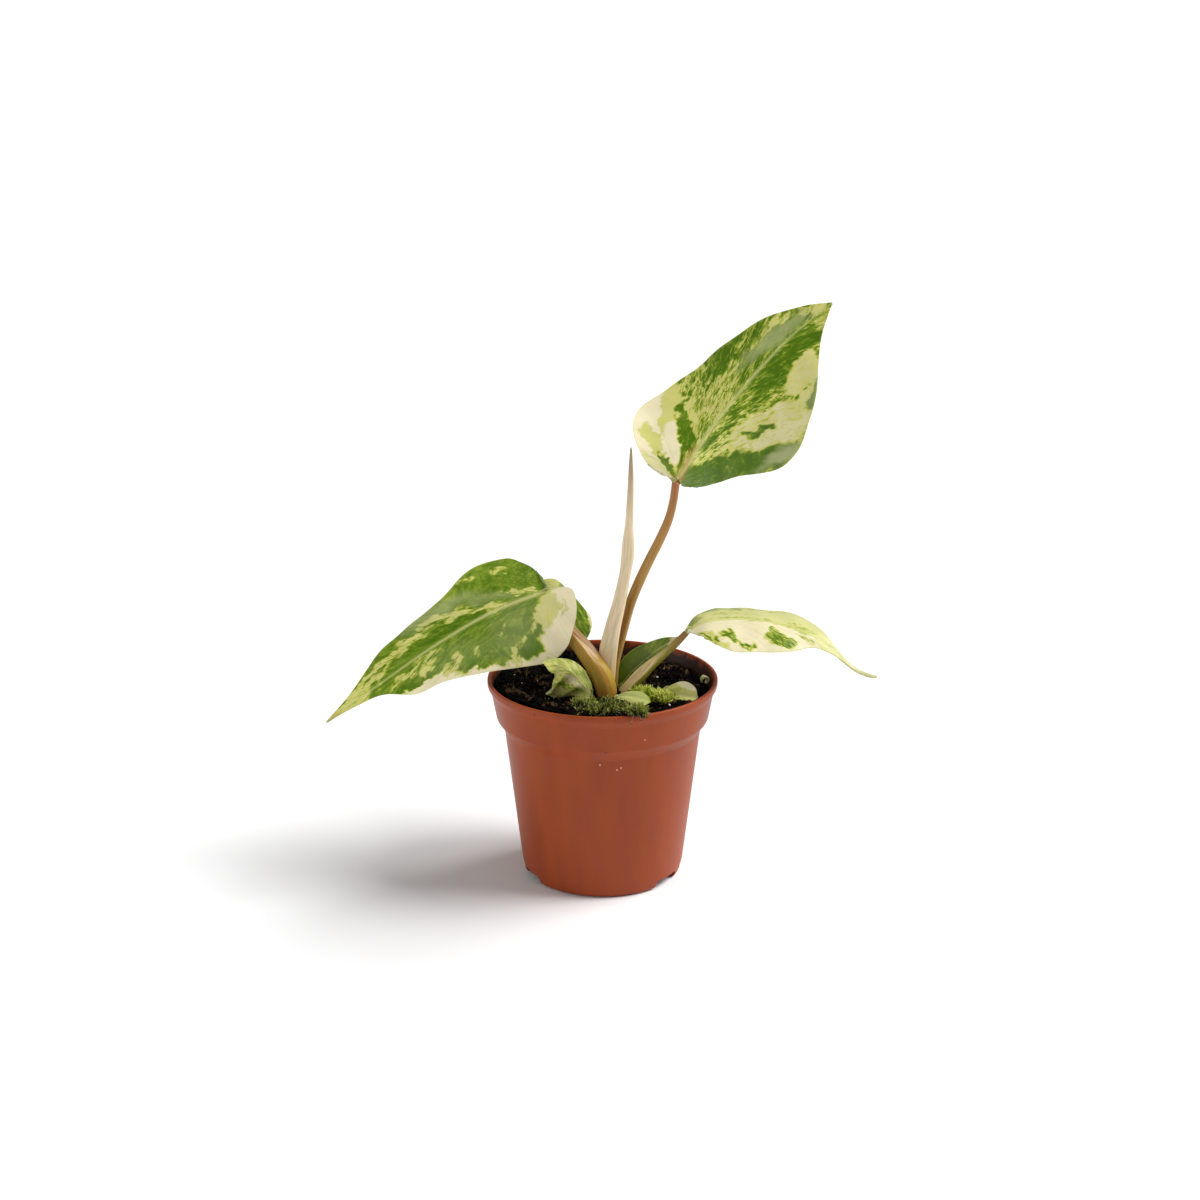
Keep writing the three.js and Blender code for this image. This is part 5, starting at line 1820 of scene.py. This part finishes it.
    def inner_radius(self, z: Array) -> Array:
        """Give the radius of the wall's inner face.

        Args:
            z: Heights.

        Returns:
            The radius at each height.
        """
        flare_bottom = self.height - self.lip_depth - self.lip_flare
        heights = (0, self.step_bottom, self.band_bottom, flare_bottom, self.height)
        radii = (self.foot_radius, self.step_radius, self.band_bottom_radius,
                 self.band_top_radius, self.rim_radius)
        return np.interp(z, heights, radii) - self.wall


# Soil


def soil_height(x: Array, y: Array) -> Array:
    """Give the height of the smooth soil surface, in millimetres, as in the packed soil.

    Args:
        x: Place across.
        y: Place from front to back.

    Returns:
        The heights.
    """
    front = 1.9 * smoothstep(-4, 20, -y)
    crown = 0.7 * np.exp(-((x - 2.2) ** 2 + (y + 5.4) ** 2) / 60)
    bumps = np.sin(0.41 * x + 1.3 * np.sin(0.23 * y)) + np.sin(0.37 * y - 0.29 * x + 2)
    return 49.7 + front + crown + 0.22 * bumps


def rough(x: float, y: float, size: float, seed: float) -> float:
    """Give crumbly noise from about -1 to 1 for crumbs of a size in millimetres."""
    return noise.fractal(Vector((x / size, y / size, seed)), 0.9, 2.1, 4)


@dataclass
class Soil:
    """Damp peat with crumbs, pale mineral grains and thin root fibres."""

    pot: NurseryPot
    columns: int = 220
    rows: int = 110
    wall_share: float = 0.1  # share of the rows that go down the wall
    wall_gap: float = 0.35  # mm
    relief: float = 1.0  # mm
    crumb_size: float = 1.7  # mm across the bumps of the surface
    hollow_size: float = 5.5
    edge_rise: float = 2.4  # mm that it climbs the wall on the left
    crumbs: int = 2700
    grains: int = 70
    fibres: int = 60
    hanging: Sequence[Points] = (
        ((7.6, -27, 53.2), (7.8, -29.6, 54.2), (7.2, -30.4, 52.8), (6.9, -30.5, 51.2)),
        ((8.6, -27, 53.2), (9.1, -29.4, 54), (9.5, -30.1, 53), (9.2, -30.3, 51.9)),
        ((9.6, -26.4, 53), (10.6, -28.6, 54.2), (11.6, -28.8, 54.3), (12.4, -28.3, 53.6)),
    )
    seed: int = 11

    def surface(self, x: Array, y: Array) -> Array:
        """Give the height of the soil's top, which climbs the wall on the left.

        Args:
            x: Place across.
            y: Place from front to back.

        Returns:
            The heights.
        """
        radius = np.maximum(np.hypot(x, y), 0.01)
        rise = smoothstep(20.5, 26.5, radius) * np.clip(0.3 - x / radius, 0, 1)
        return soil_height(x, y) + self.edge_rise * rise

    def lay(self, u: Array, v: Array) -> tuple[Array, dict]:
        """Place the soil body's points, from the middle of its top to the middle of its bottom.

        Args:
            u: Share round the pot.
            v: Share along the section.

        Returns:
            Points in millimetres, and values for the material.
        """
        angle = 2 * math.pi * u
        top_end = 1 - self.wall_share
        out = np.clip(v / top_end, 0, 1)
        edge = self.pot.inner_radius(np.full(len(u), 50.5)) - self.wall_gap
        radius = edge * out
        x = radius * np.sin(angle)
        y = -radius * np.cos(angle)
        z = self.surface(x, y)
        fade = np.clip((1 - out) / 0.05, 0, 1)
        crumb = np.array([rough(a, b, self.crumb_size, 3.0) for a, b in zip(x, y)])
        hollow = np.array([rough(a, b, self.hollow_size, 8.0) for a, b in zip(x, y)])
        z = z + self.relief * (0.75 * crumb + 0.5 * hollow) * (0.35 + 0.65 * fade) - 0.15
        down = np.clip((v - top_end) / self.wall_share, 0, 1)
        wall_z = np.interp(down, (0, 0.8, 1), (50, 4.2, 3.95))
        wall_radius = np.interp(down, (0, 0.3, 0.8, 1), (26.9, 24.0, 19.9, 0))
        on_wall = down > 0
        z = np.where(on_wall, wall_z, z)
        x = np.where(on_wall, wall_radius * np.sin(angle), x)
        y = np.where(on_wall, -wall_radius * np.cos(angle), y)
        return np.stack([x, y, z], -1), {"shade": 0.12 * crumb - 0.05}

    def body(self, skin: Material) -> None:
        """Make the soil body.

        Args:
            skin: The peat's material.
        """
        soil = grid_sheet("peat_soil", self.columns, self.rows, self.lay)
        face_outward(soil)
        soil.data.materials.append(skin)
        smooth(soil, 80)
        place_on_body(soil, "soil", "soil")

    @staticmethod
    def lumps(subdivisions: int, count: int, roughness: float) -> list[Shape]:
        """Model a few uneven lumps.

        Args:
            subdivisions: How finely each ball is cut before it is made uneven.
            count: How many lumps.
            roughness: How uneven they are, as a share of their radius.

        Returns:
            The lumps, about 1 mm in radius.
        """
        shapes = []
        for i in range(count):
            deselect()
            bpy.ops.mesh.primitive_ico_sphere_add(subdivisions=subdivisions, radius=MM)
            ball = bpy.context.object
            points = read_points(ball)
            swell = [1 + roughness * noise.noise(Vector(p) * 1.3 + Vector((9 * i, 0, 0))) * 2
                     for p in points]
            points = points * np.array(swell)[:, None] * (1.0, 0.8, 0.62)
            faces = np.array([tuple(face.vertices) for face in ball.data.polygons])
            shapes.append((points, faces))
            bpy.data.objects.remove(ball)
        return shapes

    def scattered(self, random: Random, count: int, reach: float) -> Array:
        """Pick places on the soil.

        Args:
            random: The seeded source.
            count: How many.
            reach: How far from the middle they may lie, in millimetres.

        Returns:
            The places, in millimetres.
        """
        angle = random.uniform(0, 2 * math.pi, count)
        radius = reach * np.sqrt(random.uniform(0, 1, count))
        x = radius * np.cos(angle)
        y = radius * np.sin(angle)
        return np.stack([x, y, self.surface(x, y)], -1)

    def crumb_layer(self, skin: Material) -> None:
        """Strew crumbs of peat over the soil, small ones where moss and early leaves crowd it.

        Args:
            skin: The peat's material.
        """
        random = np.random.default_rng(self.seed)
        places = self.scattered(random, self.crumbs, 26.9)
        crowded = (places[:, 0] > 2) & (places[:, 1] < -8)
        size = 0.26 + np.where(crowded, 0.25, 0.8) * random.uniform(0, 1, self.crumbs) ** 2
        turns = any_turns(random, self.crumbs) * size[:, None, None]
        places[:, 2] += 0.1 + 0.25 * size
        choice = random.integers(0, 5, self.crumbs)
        shade = random.uniform(-0.1, 0.5, self.crumbs)
        crumbs = merged_copies("soil_crumbs", self.lumps(1, 5, 0.5), choice, turns, places, shade)
        crumbs.data.materials.append(skin)
        place_on_body(crumbs, "soil")

    def grain_layer(self) -> None:
        """Strew pale mineral grains over the soil."""
        random = np.random.default_rng(self.seed + 1)
        places = self.scattered(random, self.grains, 26)
        size = 0.12 + 0.3 * random.uniform(0, 1, self.grains) ** 2
        turns = any_turns(random, self.grains) * size[:, None, None]
        places[:, 2] += 0.45
        choice = random.integers(0, 3, self.grains)
        shade = np.zeros(self.grains)
        grains = merged_copies("mineral_grains", self.lumps(2, 3, 0.6), choice, turns, places, shade)
        grains.data.materials.append(Grit("perlite_expanded", "#F2EEE6", "#CFC8BC").material())
        smooth(grains, 40)
        place_on_body(grains, "soil")

    def fibre_paths(self) -> list[tuple[Array, float]]:
        """Lay out the fibres: most lie bent on the soil, and a few hang over the rim.

        Returns:
            The points of each fibre and its radius, in millimetres.
        """
        random = np.random.default_rng(self.seed + 2)
        share = np.linspace(-0.5, 0.5, 9)
        paths = []
        for place in self.scattered(random, self.fibres, 25):
            heading = random.uniform(0, 2 * math.pi)
            length = random.uniform(1.2, 4.5)
            way = heading + random.uniform(-1.1, 1.1) * share
            x = place[0] + np.cumsum(np.cos(way)) * length / 9
            y = place[1] + np.cumsum(np.sin(way)) * length / 9
            inside = 26.2 / np.maximum(np.hypot(x, y), 26.2)
            x, y = x * inside, y * inside
            z = self.surface(x, y) + 0.5 + 0.4 * np.sin(5 * share + heading)
            paths.append((np.stack([x, y, z], -1), random.uniform(0.03, 0.08)))
        for curve in map(Curve, self.hanging):
            paths.append((curve.at(np.linspace(0, curve.length, 9)), 0.14))
        return paths

    def fibre_layer(self) -> None:
        """Make the thin root fibres."""
        points, faces, total = [], [], 0
        corners = 4
        for path, thick in self.fibre_paths():
            along = unit(np.gradient(path, axis=0))
            first = unit(np.cross(along, (0.3, 0.2, 1.0)))
            second = np.cross(along, first)
            steps = len(path)
            for corner in range(corners):
                a = 2 * math.pi * corner / corners
                points.append(path + thick * (first * math.cos(a) + second * math.sin(a)))
            for i in range(steps - 1):
                for corner in range(corners):
                    nxt = (corner + 1) % corners
                    a, b = total + corner * steps + i, total + nxt * steps + i
                    faces.append((a, a + 1, b + 1, b))
            for end in (0, steps - 1):
                faces.append(tuple(total + corner * steps + end for corner in range(corners)))
            total += corners * steps
        fibres = from_points("root_fibres", np.vstack(points), faces)
        face_outward(fibres)
        fibres.data.materials.append(Grit("plant_fibre_dry", "#9C7E54", "#4A3420").material())
        place_on_body(fibres, "soil")

    def build(self) -> None:
        """Make the soil with all that lies on it."""
        skin = Peat().material()
        self.body(skin)
        self.crumb_layer(skin)
        self.grain_layer()
        self.fibre_layer()


# Moss


@dataclass
class Moss:
    """A cushion of moss: many short shoots with small leaflets, rooted in a low pad."""

    name: str
    node: str
    slot: str
    patches: Sequence[tuple[float, float, float, float, float]]  # place, half sizes and lift
    height: float
    shoots: int
    shoot_length: float
    skin: MossSkin
    seed: int
    cover: float  # how far shoots spread between the denser clumps
    leaflets: int = 11
    clump_size: float = 1.5
    soil_radius: float = 28.0
    rim_lift: float = 2.0  # a cushion lifted by more grows on the rim

    def shoot(self, bend: float) -> Shape:
        """Model one shoot, 1 mm long, with thin leaflets that stand out in a spiral.

        Args:
            bend: How far its tip leans over, in millimetres.

        Returns:
            The shoot.
        """
        points, faces = [], []
        for i in range(self.leaflets):
            up = 0.1 + 0.86 * i / (self.leaflets - 1)
            angle = 2.4 * i
            out = 0.42 * (1.1 - 0.7 * up) * (0.85 + 0.3 * math.sin(5.1 * i + 9 * bend))
            c, s = math.cos(angle), math.sin(angle)
            half = 0.075 * (1.2 - 0.5 * up)
            lean = bend * up * up
            base = len(points)
            points += [
                (lean + 0.02 * c, 0.02 * s, up - 0.04),
                (lean + 0.5 * out * c - half * s, 0.5 * out * s + half * c, up + 0.12),
                (lean + out * c, out * s, up + 0.3),
                (lean + 0.5 * out * c + half * s, 0.5 * out * s - half * c, up + 0.12),
            ]
            faces += [(base, base + 3, base + 1), (base + 1, base + 3, base + 2)]
        base = len(points)
        for a in (0.0, 2.1, 4.2):
            points.append((0.05 * math.cos(a), 0.05 * math.sin(a), -0.3))
        points.append((1.1 * bend, 0, 1.1))
        faces += [(base + i, base + (i + 1) % 3, base + 3) for i in range(3)]
        return np.array(points), np.array(faces)

    @staticmethod
    def upright_turns(angle: Array) -> Array:
        """Give turns about the upright axis.

        Args:
            angle: The angles in radians.

        Returns:
            Matrices, with the copies on the last axis.
        """
        c, s, o, i = np.cos(angle), np.sin(angle), np.zeros(len(angle)), np.ones(len(angle))
        return np.array([[c, -s, o], [s, c, o], [o, o, i]])

    def turns(self, random: Random, lean: Array, heading: Array) -> Array:
        """Lean each shoot and turn it about its own stem.

        Args:
            random: The seeded source.
            lean: How far each leans, in radians.
            heading: Which way each leans, in radians.

        Returns:
            A turn matrix for each shoot.
        """
        c, s, o, i = np.cos(lean), np.sin(lean), np.zeros(len(lean)), np.ones(len(lean))
        tilt = np.array([[c, o, s], [o, i, o], [-s, o, c]])
        own = self.upright_turns(random.uniform(0, 2 * math.pi, len(lean)))
        return np.einsum("ijn,jkn,kln->nil", self.upright_turns(heading), tilt, own)

    def build(self) -> None:
        """Make the cushion, thinner where the soil shows through."""
        random = np.random.default_rng(self.seed)
        which = random.integers(0, len(self.patches), self.shoots)
        patch = np.array(self.patches)[which]
        angle = random.uniform(0, 2 * math.pi, self.shoots)
        reach = np.sqrt(random.uniform(0, 1, self.shoots)) * random.uniform(0.8, 1.15, self.shoots)
        x = patch[:, 0] + patch[:, 2] * reach * np.cos(angle)
        y = patch[:, 1] + patch[:, 3] * reach * np.sin(angle)
        clump = wander(x, y, self.clump_size, self.seed)[:, 0] * 2
        on_soil = (clump > -self.cover) & (np.hypot(x, y) < self.soil_radius)
        keep = on_soil | (patch[:, 4] > self.rim_lift)
        x, y, angle, reach, clump = x[keep], y[keep], angle[keep], reach[keep], clump[keep]
        count = len(x)
        dome = self.height * np.sqrt(np.clip(1 - reach ** 2, 0, 1)) * (1 + 0.9 * clump)
        length = self.shoot_length * random.uniform(0.55, 1.4, count)
        ground = soil_height(x, y) + patch[keep, 4]
        places = np.stack([x, y, ground + 0.2 + 0.75 * dome - 0.3 * length], -1)
        lean = np.abs(0.6 * reach + 0.5 * random.uniform(-1, 1, count))
        turns = self.turns(random, lean, angle + random.uniform(-1.2, 1.2, count))
        turns = turns * length[:, None, None]
        shapes = [self.shoot(bend) for bend in (0.05, 0.25, 0.45)]
        choice = random.integers(0, len(shapes), count)
        shade = 0.2 + random.uniform(-0.2, 0.2, count) + 0.3 * clump
        moss = merged_copies(self.name, shapes, choice, turns, places, shade, climb=0.6)
        moss.data.materials.append(self.skin.material())
        place_on_body(moss, self.slot, self.node)


# Curled scrap of leaf


@dataclass
class CurledTip:
    """A scrap of leaf rolled into most of a ring. Millimetres."""

    centre: Place = (26.2, 2.2, 52.0)
    radius: float = 1.05
    width: float = 1.5
    thickness: float = 0.32
    start: float = -70.0  # degrees round the ring
    end: float = 215.0
    turn: float = 35.0  # degrees from the right side toward the back

    def lay(self, u: Array, v: Array) -> tuple[Array, dict]:
        """Place the ribbon's points.

        Args:
            u: Share across the ribbon.
            v: Share round the ring.

        Returns:
            Points in millimetres, and values for the material.
        """
        angle = np.radians(self.start + (self.end - self.start) * v)
        taper = 0.35 + 0.65 * np.sin(math.pi * np.clip(v * 1.15, 0, 1)) ** 0.5
        radius = self.radius * (1 - 0.12 * v)
        x = radius * np.cos(angle)
        z = radius * np.sin(angle)
        y = -self.width * (0.5 + (u - 0.5) * taper)
        turn = math.radians(self.turn)
        point = np.stack([x * math.cos(turn) - y * math.sin(turn),
                          x * math.sin(turn) + y * math.cos(turn), z], -1)
        values = {
            "tone": 0.1 + 0.3 * v, "fleck": np.full(len(u), 0.3), "rib": np.zeros(len(u)),
            "blush": 0.5 * smoothstep(0.8, 1, v), "sage": np.zeros(len(u)),
            "vein": np.stack([3 * u, 8 * v, 0 * u], -1),
        }
        return point + np.array(self.centre), values

    def build(self, skins: Sequence[Material]) -> None:
        """Make the scrap.

        Args:
            skins: Materials of its outer and its inner face.
        """
        scrap = grid_sheet("curled_leaf_tip", 8, 60, self.lay)
        thicken(scrap, self.thickness, 0, skins)
        place_on_body(scrap, "pale_leaf", "leaf_tip_curled")


# Studio


@dataclass
class Studio:
    """A pale floor, soft light from the right and behind with some from the left, and the camera."""

    target: Place = (-0.66, 0.0, 74.5)  # mm
    distance: float = 600.0  # mm
    elevation: float = 18.0  # degrees that the camera looks down
    lens: float = 69.8
    sensor: float = 36.0
    floor_size: float = 12.0  # m
    floor_drop: float = 0.0002  # m below the foot, so that the two faces don't meet
    sky: float = 0.27
    backdrop: float = 0.86  # how bright the room looks where the floor ends
    # Name, strength, degrees above the floor, degrees from the right toward the back, degrees across
    lamps: Sequence[tuple[str, float, float, float, float]] = (
        ("key", 2.95, 47.0, 0.0, 32.0),
        ("back", 1.1, 39.0, 34.0, 20.0),
        ("fill", 0.85, 16.0, 198.0, 40.0),
    )

    def camera(self) -> None:
        """Set up the camera at the photograph's viewing angle."""
        view = bpy.data.cameras.new("view")
        view.lens = self.lens
        view.sensor_width = self.sensor
        view.clip_start = 0.01
        camera = link("view", view)
        tilt = math.radians(self.elevation)
        back = self.distance * math.cos(tilt)
        up = self.distance * math.sin(tilt)
        x, y, z = self.target
        camera.location = (x * MM, (y - back) * MM, (z + up) * MM)
        camera.rotation_euler = (math.radians(90) - tilt, 0, 0)
        bpy.context.scene.camera = camera

    @staticmethod
    def lamp(name: str, strength: float, elevation: float, azimuth: float, softness: float) -> None:
        """Add a large soft light that is far away.

        Args:
            name: The light's name.
            strength: Its strength.
            elevation: Degrees above the floor.
            azimuth: Degrees from the right side toward the back.
            softness: How wide it looks from the plant, in degrees.
        """
        data = bpy.data.lights.new(name, "SUN")
        data.energy = strength
        data.angle = math.radians(softness)
        light = link(name, data)
        up, way = math.radians(elevation), math.radians(azimuth)
        place = Vector((math.cos(up) * math.cos(way), math.cos(up) * math.sin(way), math.sin(up)))
        light.location = place
        light.rotation_euler = (-place).to_track_quat("-Z", "Y").to_euler()

    def sky_light(self) -> None:
        """Light the room evenly in white, and show it nearly as bright as the floor."""
        world = bpy.data.worlds.new("room")
        world.use_nodes = True
        tree = world.node_tree
        back = tree.nodes["Background"]
        back.inputs["Color"].default_value = (1, 1, 1, 1)
        seen = add_node(tree, "LightPath", output="Is Camera Ray")
        strength = add_node(tree, "MapRange", {0: seen, 3: self.sky, 4: self.backdrop})
        tree.links.new(strength, back.inputs["Strength"])
        bpy.context.scene.world = world

    def floor(self) -> None:
        """Lay the floor."""
        deselect()
        bpy.ops.mesh.primitive_grid_add(
            x_subdivisions=4, y_subdivisions=4, size=self.floor_size, location=(0, 0, -self.floor_drop),
        )
        apply_place()
        floor = bpy.context.object
        floor.name = "floor"
        floor.data.materials.append(PaleFloor().material())

    def build(self) -> None:
        """Set up camera, floor and lights."""
        bpy.context.scene.view_settings.view_transform = "Standard"
        self.camera()
        self.floor()
        for lamp in self.lamps:
            self.lamp(*lamp)
        self.sky_light()


# The whole plant


def leaves() -> list[Leaf]:
    """List all blades with their markings."""
    return [
        Leaf("tall_leaf", "leaf_tall", "leaf", TALL_LEAF, TALL_MARKS, base_fleck=0.8,
             blush=TALL_BLUSH, sage=TALL_SHEEN, seed=1),
        Leaf("left_leaf", "leaf_left", "leaf", LEFT_LEAF, LEFT_MARKS, (Tone.GREEN, Tone.GREEN), 0.3,
             blush=LEFT_BLUSH, sage=LEFT_SHEEN, seed=2, rib_width=0.5, vein_angle=16),
        Leaf("right_leaf", "leaf_right", "pale_leaf", RIGHT_LEAF, RIGHT_MARKS,
             (Tone.PRIMROSE, Tone.CREAM), 0.2, sage=RIGHT_SHEEN, seed=3, columns=90, rows=130,
             rib_width=0.35, vein_angle=18),
        Leaf("back_leaf", "leaf_back", "leaf", BACK_LEAF, BACK_MARKS, base_fleck=0.5, columns=50,
             rows=70, seed=4, rib_width=0.3, rib_thickness=0.7, undulation=0.3),
        Leaf("low_leaf", "leaf_low", "dark_leaf", LOW_LEAF, LOW_MARKS, (Tone.DEEP, Tone.DEEP), 0.2,
             sage=LOW_SHEEN, columns=50, rows=70, seed=5, rib_width=0.15, rib_thickness=0.6),
        Leaf("crumpled_leaf", "leaf_crumpled", "pale_leaf", CRUMPLED_LEAF, CRUMPLED_MARKS,
             (Tone.STRAW, Tone.LIME), 0.5, blush=CRUMPLED_BLUSH, sage=CRUMPLED_SHEEN, columns=60,
             rows=80, seed=6, rib_width=0.25, rib_thickness=0.6, undulation=0.7),
        Leaf("cupped_leaf", "leaf_cupped", "pale_leaf", CUPPED_LEAF, CUPPED_MARKS,
             (Tone.STRAW, Tone.STRAW), 0.25, sage=CUPPED_SHEEN, columns=50, rows=60, seed=7,
             rib_width=0.25, rib_thickness=0.6, undulation=0.4),
        Leaf("little_leaf", "leaf_little", "pale_leaf", LITTLE_LEAF, (), (Tone.LIME, Tone.LIME), 0.1,
             sage=LITTLE_SHEEN, columns=40, rows=50, seed=8, rib_width=0.2, rib_thickness=0.6,
             undulation=0.4),
    ]


def stalks() -> list[Stalk]:
    """List the stalks and the rolled new leaf.

    Returns:
        The stalks in the order in which they are built.
    """
    brown = StalkSkin("stalk_skin_tall_brown", "#B9914F", "#7C4420", "#A06C38", "#BC9644", "#A86C46",
                      channel_start=0.85)
    olive = StalkSkin("stalk_skin_left_olive", "#A68C2C", "#DCBE96", "#A8682A", "#94662A", "#B89A4A",
                      0.45, 0.75, channel_start=0.5)
    pale = StalkSkin("stalk_skin_right_olive", "#868020", "#DCC690", "#A8864E", "#A68C3E", "#966A3C",
                     streak_amount=0.3, channel_start=0.1)
    hidden = StalkSkin("stalk_skin_back_olive", "#8F8C42", "#C4AE7C", "#7B6A38", "#86643C", "#98984A")
    spear = StalkSkin("stalk_skin_rolled_leaf_pink", "#F0D6B4", "#F2E2C4", "#C0C08A", "#C4933E",
                      "#86684E", 0.4, 0.55)
    return [
        Stalk("tall_stalk", "stem_tall", "stem", TALL_STEM, brown, reach=0.9, seed=1),
        Stalk("left_stalk", "stem_left", "stem", LEFT_STEM, olive, reach=0.9, seed=2),
        Stalk("right_stalk", "stem_right", "stem", RIGHT_STEM, pale, reach=1.1, seed=3),
        Stalk("back_stalk", "stem_back", "stem", BACK_STEM, hidden, sides=28, rows=70, seed=4),
        Stalk("rolled_new_leaf", "new_leaf_rolled", "new_leaf", SPEAR, spear, sides=56, rows=140,
              reach=0.0, overlap=0.24, twist=70, seed=5),
    ]


def low_stalk() -> Piece:
    """Make the short stalk that is one piece with the low leaf.

    Returns:
        The stalk, not yet joined to its leaf.
    """
    skin = StalkSkin("stalk_skin_low_green", "#7F8A45", "#9FA866", "#6B7338", "#8F8352", "#76864A")
    stalk = Stalk("low_stalk", "leaf_low", "dark_leaf", LOW_STEM, skin, sides=24, rows=30, seed=6)
    return stalk.build()


def mosses() -> list[Moss]:
    """List the two cushions of moss.

    Returns:
        The cushions in the order in which they are built.
    """
    bright = MossSkin("moss_living_bright", (
        (0.1, "#5A6816"), (0.4, "#9CAA28"), (0.7, "#C8D244"), (1.0, "#E6EC84"),
    ))
    dark = MossSkin("moss_living_dark", (
        (0.1, "#191A09"), (0.4, "#363C10"), (0.7, "#626A1C"), (1.0, "#A4A848"),
    ))
    by_leaves = ((10.9, -10.4, 2.8, 2.0, 0.3), (14.8, -12.2, 3.2, 2.3, 0.3))
    in_front = (
        (-4.6, -16.2, 3.2, 2.3, 0), (0.6, -19.4, 4.2, 3.2, 0.2), (7.2, -21.4, 3.6, 3.2, 0.4),
        (-1.5, -23.6, 4.5, 2.4, 0.7), (8.6, -28, 2.0, 1.2, 2.1),
    )
    return [
        Moss("bright_moss", "moss_bright", "bright_moss", by_leaves, 1.3, 420, 1.9, bright, 21, 0.6),
        Moss("front_moss", "moss_front", "dark_moss", in_front, 0.7, 1100, 1.6, dark, 31, -0.15),
    ]


def dress_rootstock() -> None:
    """Give the hidden rootstock, which stays as packed, its own corky skin."""
    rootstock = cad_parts["rootstock"]
    rootstock.data.materials.clear()
    rootstock.data.materials.append(Grit("rootstock_corky", "#A98B5E", "#6A4C2E", 1.2).material())


def main() -> None:
    """Build the studio and every piece in order."""
    logging.basicConfig(level=logging.INFO, format="%(message)s")
    Studio().build()
    pot = NurseryPot()
    pot.build()
    Soil(pot).build()
    dress_rootstock()
    for stalk in stalks():
        stalk.finish()
    skins = [LeafSkin(side).material() for side in Side]
    for leaf in leaves():
        leaf.finish(skins, low_stalk() if leaf.name == "low_leaf" else None)
    CurledTip().build(skins)
    for moss in mosses():
        moss.build()


if __name__ == "__main__":
    main()
